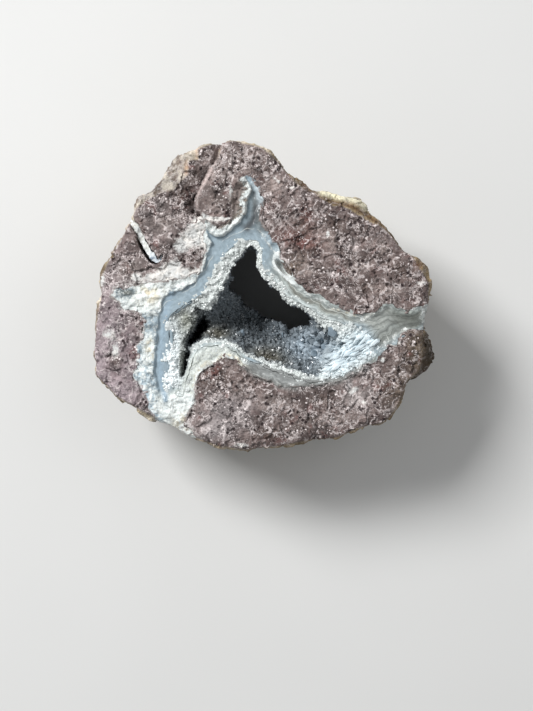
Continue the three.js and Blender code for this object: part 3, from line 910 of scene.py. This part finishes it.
def paint_rock(points):
    """Colour of the rock, and how far each place belongs to the weathered outside."""
    x, y = points[:, 0], points[:, 1]
    outside = np.clip(on_plan(crest_edge, x, y) / 0.8, 0, 1)
    below = on_plan(face, x, y) - points[:, 2]
    inward = -on_plan(stone_edge, x, y)
    near_edge = smooth_step(below, 1.5, 4) * smooth_step(-inward, -7, -3)
    outside = np.maximum(outside, np.maximum(near_edge, smooth_step(below, 9, 13)))
    patches = fractal(points, 7, 3, 81)
    upper = outside * smooth_step(6 * patches - below, -15, -7)
    upper_left = upper * smooth_step(-x - y * 0.2, 8, 20)
    bevel = upper_left * smooth_step(y, 20, 26)
    grit = fractal(points, 2.4, 3, 83)
    layers = [
        (linear(146, 133, 137), blobs(x, y, [(-46, -14, 9, 22), (-42, -26, 8, 9)])),
        # Darker rock; the spot left of the step at (-22, 35) is painted shade where the surface dips
        # away from the light
        (linear(116, 107, 105), blobs(x, y, [(-31, 23, 7, 9, 30), (-22, 35, 4, 5), (-40, 8, 7, 5)])),
        (linear(124, 112, 108), blobs(x, y, [(-8, 40, 9, 6), (-13, 29, 4, 6)])),
        (linear(112, 113, 111), stroke(x, y, CONTACT_BELOW, 1.1)),
        (linear(118, 82, 76), 0.75 * blobs(x, y, [
            (13, 23, 1.8, 3.6), (9, 18, 4, 2.4), (15, 16, 4, 2),
        ])),
        (linear(92, 78, 72), 0.8 * blobs(x, y, [
            (12, 21, 3, 3), (-14, -24, 5, 3.5), (-20, 36, 3, 3), (-6, -28, 4, 2.5, 20),
            (31, 3, 3, 2), (41, 8, 4, 2, -40), (-37, 19, 2, 4), (-24, 31, 3, 3), (36, -27, 2, 4),
            (-44, -19, 2.4, 3), (18, -31, 4, 2), (2, -41, 5, 2), (22, 21, 3, 2, -30),
        ])),
        (linear(150, 137, 132), 0.7 * blobs(x, y, [
            (20, 17, 4, 2.5, -35), (14, 8, 3, 2), (29, 9, 4, 2), (5, -32, 5, 2.5), (4, 33, 3, 3),
            (-29, 22, 3, 2), (-15, 39, 2, 4, -25), (38, 2, 4, 1.5), (14, -38, 6, 2),
            (-40, 9, 3, 2), (36, 14, 3, 2, -40), (24, -36, 5, 2),
        ])),
        (linear(108, 95, 82), 0.7 * blobs(x, y, [(41, -29, 4, 8), (8, 8, 2.5, 6, -45)])),
        (linear(192, 181, 178), 0.9 * blobs(x, y, [(28.5, -29.5, 4.2, 3.4), (27.8, 15, 0.8, 2.2, 15)])),
        (linear(112, 110, 110), blobs(x, y, [(26, -26.6, 1.1, 2.2), (31.4, -21.8, 0.8, 1.4)])),
        (linear(168, 160, 160), 0.7 * blobs(x, y, [(-10, -34, 7, 5), (-14, -40, 5, 3)])),
        (linear(172, 157, 130), outside),
        (linear(206, 196, 178), outside * smooth_step(patches, -0.1, 0.5)),
        (linear(118, 103, 82), outside * smooth_step(-patches, 0.15, 0.6)),
        (linear(156, 149, 143), upper_left * smooth_step(y, 24, 30)),
        (linear(190, 182, 170), bevel * smooth_step(grit, 0.02, 0.25)),
        (linear(108, 96, 86), bevel * smooth_step(-grit, 0.08, 0.3)),
        (linear(190, 152, 118), 0.8 * upper * blobs(x, y, [
            (-22.3, 38, 0.8, 2.4), (-19.3, 43.4, 0.7, 2),
        ])),
        (linear(140, 122, 94), upper * smooth_step(x, 6, 12)),
        (linear(98, 76, 54), upper * stroke(x, y, RIND_STREAK, 0.7)),
        (linear(68, 58, 46), upper * blobs(x, y, [(50, -16, 6, 9), (45, -25, 5, 5)])),
        (linear(98, 86, 72), (1 - outside) * blobs(x, y, [(46.5, -16, 3.4, 8)])),
        # Painted shadow on the lower side of the step, just left of its line
        (linear(80, 70, 68), 0.7 * (1 - outside) * stroke(x + 1.3, y, STEP_LINE, 1.2)),
        # Painted highlight on the lit edge of the step
        (linear(186, 170, 166), 0.8 * (1 - outside) * stroke(x - 0.3, y, STEP_LINE, 0.45)),
        (linear(40, 34, 34), blobs(x, y, [(-13.5, 31, 1.1, 0.8, 20), (-12, 32.6, 0.5, 0.7)])),
        (linear(92, 62, 44), 0.8 * blobs(x, y, [(13, 33, 2.2, 0.9, -35), (46.5, 9.5, 1.6, 1.3)])),
        (linear(232, 226, 198), upper * 1.2 * stroke(x, y, PALE_KNOB, 1.1)),
    ]
    return painted(linear(107, 94, 91), layers, len(points)), outside


# Bleached places of the rock.
ALTERED_SPOTS = [
    (-21.5, 17.5, 4.2, 3.6, 30), (-19, 21, 2.2, 3.4), (-26.5, 9.6, 5, 1.8, 12),
    (-24, 14.5, 2.4, 2.4), (-28, 6.6, 9, 1.6, 8), (-44, 16.2, 1.6, 2.4, -40),
    (-48, 5, 1.2, 3), (-38, 6.3, 1.4, 1), (9, 32.4, 1, 0.7), (19.6, 18.6, 0.8, 1.6),
    (4.6, 34.4, 2.4, 0.7, -40), (-19.6, 28, 0.7, 2.4), (-9, 30, 0.6, 3.4, 10),
    (-6, -44.5, 3, 1), (27.5, -28, 2, 1.2, 30), (30.5, -31.5, 1.2, 0.8), (40, -14, 1.6, 0.8),
    (36, -19, 1, 1), (47.5, 4, 1.6, 1.2), (-13, 23.2, 3.4, 0.7), (-17, 19, 1, 4),
    (-46, -11, 2.5, 2), (-44, -16, 1.5, 3),
]


def make_rock():
    mesh = new_mesh("host_rock_detail", *surface(rock_field))
    refine_face(mesh)
    points, normals, weight = settle_top(mesh, rock_top, 3.0)
    rest = (1 - weight) * smooth_step(points[:, 2], 0.4, 3)
    points = points + normals * (side_relief(points) * rest)[:, None]
    points[:, 2] = np.maximum(points[:, 2], 0)
    set_points(mesh, points)
    tone, outside = paint_rock(points)
    x, y = points[:, 0], points[:, 1]
    from_lining = on_plan(lining_edge, x, y)
    left = smooth_step(-x, 4, 18)
    altered = (0.25 + 0.2 * left) * np.exp(-np.clip(from_lining, 0, None) / (0.7 + left))
    altered = (altered + 0.75 * blobs(x, y, ALTERED_SPOTS)) * weight
    altered = altered * (1 - blobs(x, y, [(-22, 11.4, 2.6, 2.3)]))
    give(mesh, "tone", tone)
    give(mesh, "speckle", 1 - 0.65 * outside)
    give(mesh, "altered", altered)
    add_piece("host_rock_detail", mesh, rock_material(), "rock", "host_rock")


# ---------------------------------------------------------------------------------------
# The chalcedony lining
# ---------------------------------------------------------------------------------------
# White or cream crust on the lining.
CHALK_SPOTS = [
    (-27, -34, 4.5, 4.5), (-22.5, -39.5, 3, 3.5), (-33, 1.4, 5, 3), (-37, -2.5, 3, 1.4),
    (-34, -15.5, 1.9, 5), (-35.8, -24, 2, 5), (-25, 4.8, 5, 1.3), (-18.2, 14, 1.6, 6),
    (48.2, -7, 1, 3), (31, -7, 3, 0.8, 15), (-29, 1.2, 4, 1.4, -20), (-34, -31, 2, 3),
    (45.5, -3.5, 3, 0.8), (37, -15, 1.6, 1.6),
]
# White line along the right side of the lining.
RIGHT_LINE = [
    (-0.5, 19.5), (1.6, 16), (4, 13), (5.6, 10.6), (6.2, 8.6), (8.3, 6.6), (10, 3.6),
    (12.6, 1.4), (15.6, -0.4), (18.2, -1.2), (20.5, -3.4), (24, -4), (26.6, -5.4), (30, -6.4),
    (34, -5), (36.8, -3.2), (39.4, -4.6), (42.4, -4.4), (45, -3.6),
]
# White line that curls round the small lens-shaped vug.
SWIRL = [
    (6.7, 10.8), (6.2, 12.3), (4.8, 12.9), (3.7, 12), (3.6, 10.3), (4.7, 8.6), (6.6, 7),
    (8.6, 5.6),
]
# White fibrous rim of that vug.
FIBRES = [(4.4, 9.6), (5.6, 7.9), (7.2, 6.2), (9, 4.8)]
# Grey, glassy and murky places; the spot at (-1.4, 26) right of the ridge is painted shade.
GREY_AND_SHADED_SPOTS = [
    (40, -6.5, 6, 3), (45, -8, 4, 2.2), (33, -19.5, 3.4, 1.4, 45), (36, -12.5, 2.4, 3.4),
    (-40.5, 1.3, 3, 1.4), (-1.4, 26, 1.5, 6, 8), (27, -23.4, 3, 1.2, 25),
]
# Right side of the upper seam, painted darker as shade and given a rocky stain; the painted shadow
# along the ridge; and the blue band on the left.
SHADED_SEAM_RIGHT = [(0.9, 27.5), (0.6, 25.5), (0, 23.5), (1, 20.5)]
SEAM_PAINTED_SHADOW = [(-0.8, 32.5), (-0.6, 30), (-1.2, 27.5), (-1.7, 25), (-2.6, 22.6), (-4.4, 20.6)]
LEFT_BLUE = [
    (-27, 1), (-29, -5), (-30, -12), (-30.6, -18), (-30.7, -22), (-29.9, -27), (-28.9, -31),
]


def right_side(x, y):
    """1 on the right side of the lining, 0 on its left."""
    return smooth_step(x - 0.5 * y, -6, 3)


def south_side(x, y):
    """1 on the part of the lining below the cavity."""
    return smooth_step(-y, 18.5, 20.5) * smooth_step(x, -7, -4)


def paint_lining(x, y, contact, inner):
    """Colour of the lining away from its white crust."""
    right = right_side(x, y) * smooth_step(y, -9, -6)
    wave = contact + 0.5 * noise(np.stack([x, y, 0 * x], -1), 2.6, 92)
    middle = right * np.exp(-(((wave - 2.7) / 0.9) ** 2))
    ledge = smooth_step(-on_plan(ledge_edge, x, y), -0.2, 0.4)
    lobe = stroke(x, y, LOBE_RIM, 3.2)
    return painted(linear(144, 160, 169), [
        (linear(160, 168, 166), right),
        (linear(134, 134, 126), 0.85 * middle),
        (linear(180, 188, 187), right * smooth_step(-inner, -1.6, -0.5)),
        # Grey spots, one of them painted shade right of the ridge
        (linear(100, 103, 98), blobs(x, y, GREY_AND_SHADED_SPOTS)),
        (linear(150, 156, 150), 0.7 * blobs(x, y, [(42, -4.6, 5, 0.7), (39, -9.4, 4, 0.7)])),
        (linear(140, 143, 142), south_side(x, y)),
        (linear(112, 113, 111), stroke(x, y, CONTACT_BELOW, 1.0)),
        # Painted shadow along the lower right edge of the ridge
        (linear(76, 80, 83), stroke(x, y, SEAM_PAINTED_SHADOW, 1.5)),
        (linear(176, 187, 192), stroke(x, y, [(-2, 33), (-0.8, 30.5), (-0.2, 28)], 1.2)),
        # Painted shade on the right side of the seam
        (linear(104, 108, 109), stroke(x, y, SHADED_SEAM_RIGHT, 1.5)),
        (linear(150, 154, 150), blobs(x, y, [(35, -8, 4, 4), (33, -6, 4, 2)])),
        (linear(138, 142, 138), blobs(x, y, [(38, -11.5, 3, 3), (42, -10, 3, 1.5)])),
        (linear(131, 122, 113), ledge),
        (linear(202, 207, 200), lobe),
        (linear(198, 186, 158), lobe * smooth_step(-contact, -1.9, -0.5)),
        (linear(196, 201, 196), smooth_step(-y, 27, 31)),
        (linear(146, 165, 178), stroke(x, y, LEFT_BLUE, 1.0)),
    ], len(x))


def make_lining():
    mesh = new_mesh("chalcedony_detail", *surface(lining_field))
    refine_face(mesh)
    points, normals, weight = settle_top(mesh, lining_top, 3.5)
    rest = (1 - weight) * smooth_step(points[:, 2], 1.0, 3)
    points = points + normals * (0.3 * fractal(points, 2.2, 2, 91) * rest)[:, None]
    set_points(mesh, points)
    x, y = points[:, 0], points[:, 1]
    contact = -on_plan(lining_edge, x, y)
    inner = on_plan(druse_edge, x, y)
    inward = -on_plan(stone_edge, x, y)
    outer = smooth_step(inward, 3.5, 0.8)
    left = smooth_step(-x, 6, 20)
    quiet = stroke(x, y, LEFT_BLUE, 1.3)
    on_ledge = smooth_step(-on_plan(ledge_edge, x, y), -0.3, 0.2)
    ridge = stroke(x, y, RIDGE, 2.6) * on_ledge
    ridge = ridge * (0.8 + 0.7 * noise(points, 1.6, 97))
    crusty = on_plan(on_crust, x, y)
    strip = crusty * smooth_step(-x, 28, 31) * smooth_step(-y, 4, 7)
    away = np.clip(contact, 0, None)
    chalk = (0.3 + 0.4 * left) * np.exp(-away / 0.8) * (1 - 0.8 * south_side(x, y))
    chalk = np.maximum(chalk, (0.66 - 0.26 * strip) * crusty)
    chalk = chalk + 0.45 * blobs(x, y, CHALK_SPOTS) + 0.4 * outer + ridge
    chalk = chalk + 0.42 * stroke(x, y, LOBE_RIM, 2.4) + 1.2 * stroke(x, y, SWIRL, 0.5)
    chalk = chalk + stroke(x, y, FIBRES, 1.1) + 0.5 * stroke(x, y, RIGHT_LINE, 0.5)
    chalk = chalk * (1 - 0.8 * quiet) * (1 - 0.8 * blobs(x, y, GREY_AND_SHADED_SPOTS))
    below = on_plan(face, x, y) - points[:, 2]
    weathered = smooth_step(below, 1.5, 7) * smooth_step(inward, 9, 3)
    rocky = 0.55 * np.exp(-away / 0.45) + 0.3 * outer + 0.32 * weathered
    rocky = rocky + 0.35 * (crusty - strip) * np.exp(-away / 1.6)
    rocky = rocky + 0.9 * on_ledge * (1 - stroke(x, y, RIDGE, 2.6))
    rocky = rocky + 0.5 * stroke(x, y, SHADED_SEAM_RIGHT, 1.2)
    cream = blobs(x, y, [(-23, -38, 4, 3), (-34, 0.6, 4, 2.6), (-33.5, -15.5, 2, 4), (24, -5, 8, 2)])
    give(mesh, "tone", paint_lining(x, y, contact, inner))
    give(mesh, "chalk_tone", painted(linear(206, 212, 211), [
        (linear(176, 193, 202), strip),
        (linear(218, 208, 184), cream),
    ], len(points)))
    give(mesh, "from_druse", inner)
    give(mesh, "contact", contact)
    give(mesh, "layering", 0.05 + 0.28 * right_side(x, y) + 0.16 * blobs(x, y, [(-1, 27, 4, 8)]))
    give(mesh, "chalk", chalk)
    give(mesh, "rocky", rocky)
    add_piece("chalcedony_detail", mesh, chalcedony_material(), "chalcedony",
              "chalcedony_lining")


def make_vein():
    mesh = new_mesh("crack_vein_detail", *surface(vein_field))
    refine_face(mesh)
    points, _, _ = settle_top(mesh, vein_top, 2.0)
    set_points(mesh, points)
    blue = smooth_step(-points[:, 1], -15, -11)
    outer = smooth_step(on_plan(stone_edge, points[:, 0], points[:, 1]), -3.5, -0.5)
    tone = painted(linear(196, 198, 192), [
        (linear(150, 166, 182), blue),
        (linear(150, 138, 118), 0.8 * outer),
    ], len(points))
    give(mesh, "tone", tone)
    add_piece("crack_vein_detail", mesh, vein_material(), "white_vein", "crack_vein")


# ---------------------------------------------------------------------------------------
# The quartz
# ---------------------------------------------------------------------------------------
SIDES = 6
RING = np.array([(math.cos(math.tau * k / SIDES), math.sin(math.tau * k / SIDES), 0)
                 for k in range(SIDES)])


def quartz_points(feet, ways, radii, lengths, draw):
    """Many six-sided points at once: vertices (count, 13, 3) in mm."""
    count = len(feet)
    up = ways / np.linalg.norm(ways, axis=1, keepdims=True)
    helper = np.where(np.abs(up[:, 2:3]) < 0.9, [[0, 0, 1.0]], [[1.0, 0, 0]])
    side = np.cross(up, helper)
    side /= np.linalg.norm(side, axis=1, keepdims=True)
    other = np.cross(up, side)
    spin = draw.uniform(0, math.tau, count)[:, None]
    a = side * np.cos(spin) + other * np.sin(spin)
    b = other * np.cos(spin) - side * np.sin(spin)
    squash = draw.uniform(0.75, 1.0, count)[:, None, None]
    ring = RING[None, :, 0:1] * a[:, None, :] + RING[None, :, 1:2] * squash * b[:, None, :]
    ring = ring * radii[:, None, None]
    shoulder = lengths[:, None, None] * draw.uniform(0.35, 0.7, count)[:, None, None]
    slant = draw.uniform(-0.25, 0.25, (count, SIDES, 1)) * radii[:, None, None]
    foot = feet[:, None, :] + ring
    waist = feet[:, None, :] + ring * 0.93 + up[:, None, :] * (shoulder + slant)
    lean = ring[:, :1, :] * 0.15
    tip = feet[:, None, :] + up[:, None, :] * lengths[:, None, None] + lean
    return np.concatenate([foot, waist, tip], axis=1)


def point_faces(count, first):
    """Faces of the quartz points whose vertices start at a number."""
    faces = []
    pattern = [[k, (k + 1) % SIDES, SIDES + (k + 1) % SIDES, SIDES + k] for k in range(SIDES)]
    pattern += [[SIDES + k, SIDES + (k + 1) % SIDES, 2 * SIDES] for k in range(SIDES)]
    pattern.append(list(range(SIDES))[::-1])
    for i in range(count):
        start = first + i * (2 * SIDES + 1)
        faces.extend([[start + v for v in face] for face in pattern])
    return faces


def in_space(field, points):
    """Value of a spatial field at any points, from the nearest place of its grid."""
    index = [
        np.clip(np.rint((points[:, k] - AXES[k][0]) / PITCH).astype(int), 0, len(AXES[k]) - 1)
        for k in range(3)
    ]
    return field[tuple(index)]


# Middle of the fan of pale blades on the right.
FAN = [(33.5, -11.5), (30, -14), (26, -16.5), (22, -19.5)]


def quartz_tone(points):
    """Colour of the druse: white at the rim, blue-grey and olive in the depth, where the darker colour
    is partly smoky quartz and partly painted shade.
    """
    x, y, z = points.T
    below = on_plan(face, x, y) - z
    right = blobs(x, y, [(19, -13, 7, 5), (12, -15, 5, 4)])
    fan = stroke(x, y, FAN, 5.0) * smooth_step(-below, -12, -6)
    olive = blobs(x, y, [(-14, -11, 5, 3), (2, -18, 8, 3.5)])
    wall = blobs(x, y, [(-22.9, -7, 3.7, 4.8), (-24.3, -19, 1.4, 6)]) * smooth_step(-below, -12, -5)
    left = blobs(x, y, [(-27.2, -15, 2.2, 7), (-27.2, -25, 2.4, 6)])
    return painted(linear(114, 122, 128), [
        (linear(98, 95, 84), olive * smooth_step(below, 2, 6)),
        (linear(150, 153, 143), wall),
        (linear(154, 166, 175), right * smooth_step(below, 3, 8)),
        # White rim over the darker base: the darkening with depth is partly painted shade
        (linear(210, 215, 213), smooth_step(-below, -4.2, -1.6) * (1 - wall)),
        (linear(214, 227, 233), fan),
        (linear(243, 250, 252), left * smooth_step(-below, -7, -3)),
    ], len(points))


def quartz_sites(mesh, draw):
    """Foot, direction, radius and length of each small crystal on the druse."""
    centres = np.array([tuple(f.center) for f in mesh.polygons])
    normals = np.array([tuple(f.normal) for f in mesh.polygons])
    x, y, z = centres.T
    below = on_plan(face, x, y) - z
    open_side = np.abs(in_space(void, centres)) < 1.0
    rim = (normals[:, 2] > 0.3) & (below < 4)
    shows = normals[:, 2] > 0.05
    right = blobs(x, y, [(18.5, -13, 6.5, 5)]) * smooth_step(below, 2, 6)
    fan = stroke(x, y, FAN, 4.0) * smooth_step(-below, -7, -4)
    dome = blobs(x, y, [(-14, -11, 5, 3.6), (-4, -16, 7, 3)]) * smooth_step(below, 2, 4)
    chance = np.where(open_side, np.where(shows, 0.34, 0.16), 0) + np.where(rim, 0.5, 0)
    chance = chance * (1 - 0.72 * right) * (1 - 0.72 * fan) * (1 - 0.7 * dome)
    chance = np.where(stroke(x, y, SLIT_LINE, 1.5) > 0.37, 0.04, chance)
    picked = draw.uniform(0, 1, len(centres)) < chance
    centres, normals, below, right, fan = [
        values[picked] for values in (centres, normals, below, right, fan)
    ]
    count = len(centres)
    radii = draw.uniform(0.3, 0.58, count)
    radii = radii * (1 + 2.0 * right + 0.4 * smooth_step(below, 4, 20)) * (1 + 0.5 * fan)
    stubby = smooth_step(-below, -4, -2) * (1 - fan)
    lengths = radii * draw.uniform(1.9, 2.9, count) * (1 - 0.45 * stubby) * (1 + 1.5 * fan)
    ways = normals + draw.normal(0, 0.33, (count, 3)) * (1 + 0.5 * fan[:, None])
    ways = ways + fan[:, None] * np.array([-2.6, -1.7, -0.1])
    feet = centres - normals * radii[:, None] * 0.8
    feet = feet + draw.normal(0, 0.12, (count, 3))
    return feet, ways, radii, lengths


def shallow(points):
    """1 down to 2 mm below the broken face, 0 from 5 mm down."""
    return smooth_step(points[:, 2] - on_plan(face, points[:, 0], points[:, 1]), -5, -2)


def make_druse():
    draw = np.random.default_rng(5)
    mesh = new_mesh("quartz_druse_crust", *surface(druse_field))
    points, normals, _ = settle_top(mesh, druse_top, 2.5)
    relief = facets(points, 1.6, 0.42, 95) + 0.25 * fractal(points, 3, 2, 96)
    points = points + normals * (relief * smooth_step(points[:, 2], 2, 4))[:, None]
    set_points(mesh, points)
    feet, ways, radii, lengths = quartz_sites(mesh, draw)
    crystals = quartz_points(feet, ways, radii, lengths, draw)
    faces = [list(f.vertices) for f in mesh.polygons]
    faces += point_faces(len(feet), len(points))
    all_points = np.concatenate([points, crystals.reshape(-1, 3)])
    shade = 1 + (draw.uniform(0.72, 1.22, len(feet)) - 1) * (1 - 0.6 * shallow(feet))
    # The crust between the crystals is painted darker as shade, less so near the face; each crystal
    # also gets a random tone
    painted_gap_shade = 0.74 + 0.14 * shallow(points)
    tone_and_gap_shade = np.concatenate([painted_gap_shade, np.repeat(shade, 2 * SIDES + 1)])
    bpy.data.meshes.remove(mesh)
    mesh = new_mesh("quartz_druse_detail", all_points, faces)
    give(mesh, "tone", np.clip(quartz_tone(all_points) * tone_and_gap_shade[:, None], 0, 0.95))
    add_piece("quartz_druse_detail", mesh, quartz_material("druse_quartz", 0.2, 0.25),
              "druse", "quartz_druse")


def floor_height(x, y):
    """Height of the cavity floor under a place on the plan."""
    heights = AXES[2]
    places = np.stack([np.full_like(heights, x), np.full_like(heights, y), heights], -1)
    open_above = in_space(void, places) < 0
    closed = np.nonzero(~open_above & (heights < FACE_HEIGHT))[0]
    return heights[closed[-1]]


# Larger crystals: place on the plan, radius, length and lean to the right and to the top.
LARGE_CRYSTALS = [
    (22.5, -11, 2.0, 6.0, -0.5, 0.3), (19, -12.2, 1.8, 5.5, -0.2, 0.5),
    (20.5, -16, 1.5, 5.0, -0.5, 0.5), (15.5, -13.5, 1.7, 5.0, 0.1, 0.6),
    (16.5, -18, 1.4, 4.6, -0.3, 0.5), (12, -14, 1.5, 4.4, 0.2, 0.7),
    (6, -12.5, 1.2, 3.8, 0.1, 0.8), (-6.5, -11.5, 1.2, 3.8, 0.2, 0.6),
]


def make_large_crystals():
    draw = np.random.default_rng(11)
    for number, (x, y, radius, length, right, up) in enumerate(LARGE_CRYSTALS, 1):
        foot = np.array([[x, y, floor_height(x, y) - 1.2]])
        way = np.array([[right, up, 1.0]])
        points = quartz_points(foot, way, np.array([radius]), np.array([length]), draw)[0]
        mesh = new_mesh(f"large_crystal_{number}_detail", points, point_faces(1, 0))
        give(mesh, "tone", np.tile(linear(150, 166, 178), (len(points), 1)))
        add_piece(mesh.name, mesh, quartz_material(f"clear_quartz_{number}", 0.06, 0.08),
                  "quartz_crystal", f"large_crystal_{number}")


# ---------------------------------------------------------------------------------------
# Stage
# ---------------------------------------------------------------------------------------
FLOOR_REACH = 3.0  # metres from the stone to each edge of the floor
CAMERA_DISTANCE = 450.0
PICTURE_HEIGHT = 213.3  # mm of the plan that the long side of the picture spans
PICTURE_MIDDLE = (1.35, -17.55)  # place on the plan


def make_floor():
    corners = np.array([(-1, -1, 0), (1, -1, 0), (1, 1, 0), (-1, 1, 0)]) * FLOOR_REACH
    mesh = new_mesh("floor", corners, [(0, 1, 2, 3)])
    floor = bpy.data.objects.new("floor", mesh)
    bpy.context.scene.collection.objects.link(floor)
    n = Nodes("pale_floor")
    grey = n.mix(n.noise(90, 2), (0.62, 0.62, 0.61), (0.66, 0.66, 0.65))
    mesh.materials.append(n.finish(grey, 0.9, Specular_IOR_Level=0.1))


def make_light(name, azimuth, elevation, distance, size, power):
    """Square soft light that faces the stone. Azimuth 0 is the top, 90 the left."""
    a, e = math.radians(azimuth), math.radians(elevation)
    data = bpy.data.lights.new(name, "AREA")
    data.size = size
    data.energy = power
    light = bpy.data.objects.new(name, data)
    away = np.array([-math.sin(a) * math.cos(e), math.cos(a) * math.cos(e), math.sin(e)])
    light.location = away * distance
    light.rotation_euler = light.location.to_track_quat("Z", "Y").to_euler()
    bpy.context.scene.collection.objects.link(light)


def make_world(strength):
    world = bpy.data.worlds.new("studio")
    world.use_nodes = True
    background = world.node_tree.nodes["Background"]
    background.inputs["Color"].default_value = (0.96, 0.98, 1.0, 1)
    background.inputs["Strength"].default_value = strength
    bpy.context.scene.world = world


def make_camera():
    """Camera that looks straight down on the broken face."""
    data = bpy.data.cameras.new("camera")
    camera = bpy.data.objects.new("camera", data)
    data.sensor_width = 36.0
    data.lens = data.sensor_width * CAMERA_DISTANCE / PICTURE_HEIGHT
    height = FACE_HEIGHT - 2 + CAMERA_DISTANCE
    camera.location = (TO_FRAME + np.array([*PICTURE_MIDDLE, height])) * MM
    data.clip_start = 0.01
    bpy.context.scene.collection.objects.link(camera)
    bpy.context.scene.camera = camera


make_camera()
make_floor()
make_world(strength=0.31)
make_light("key", azimuth=50, elevation=46, distance=1.2, size=0.42, power=17.2)
make_light("fill", azimuth=-70, elevation=55, distance=0.9, size=0.6, power=1.2)
bpy.context.scene.view_settings.view_transform = "Standard"

make_rock()
make_lining()
make_vein()
make_druse()
make_large_crystals()
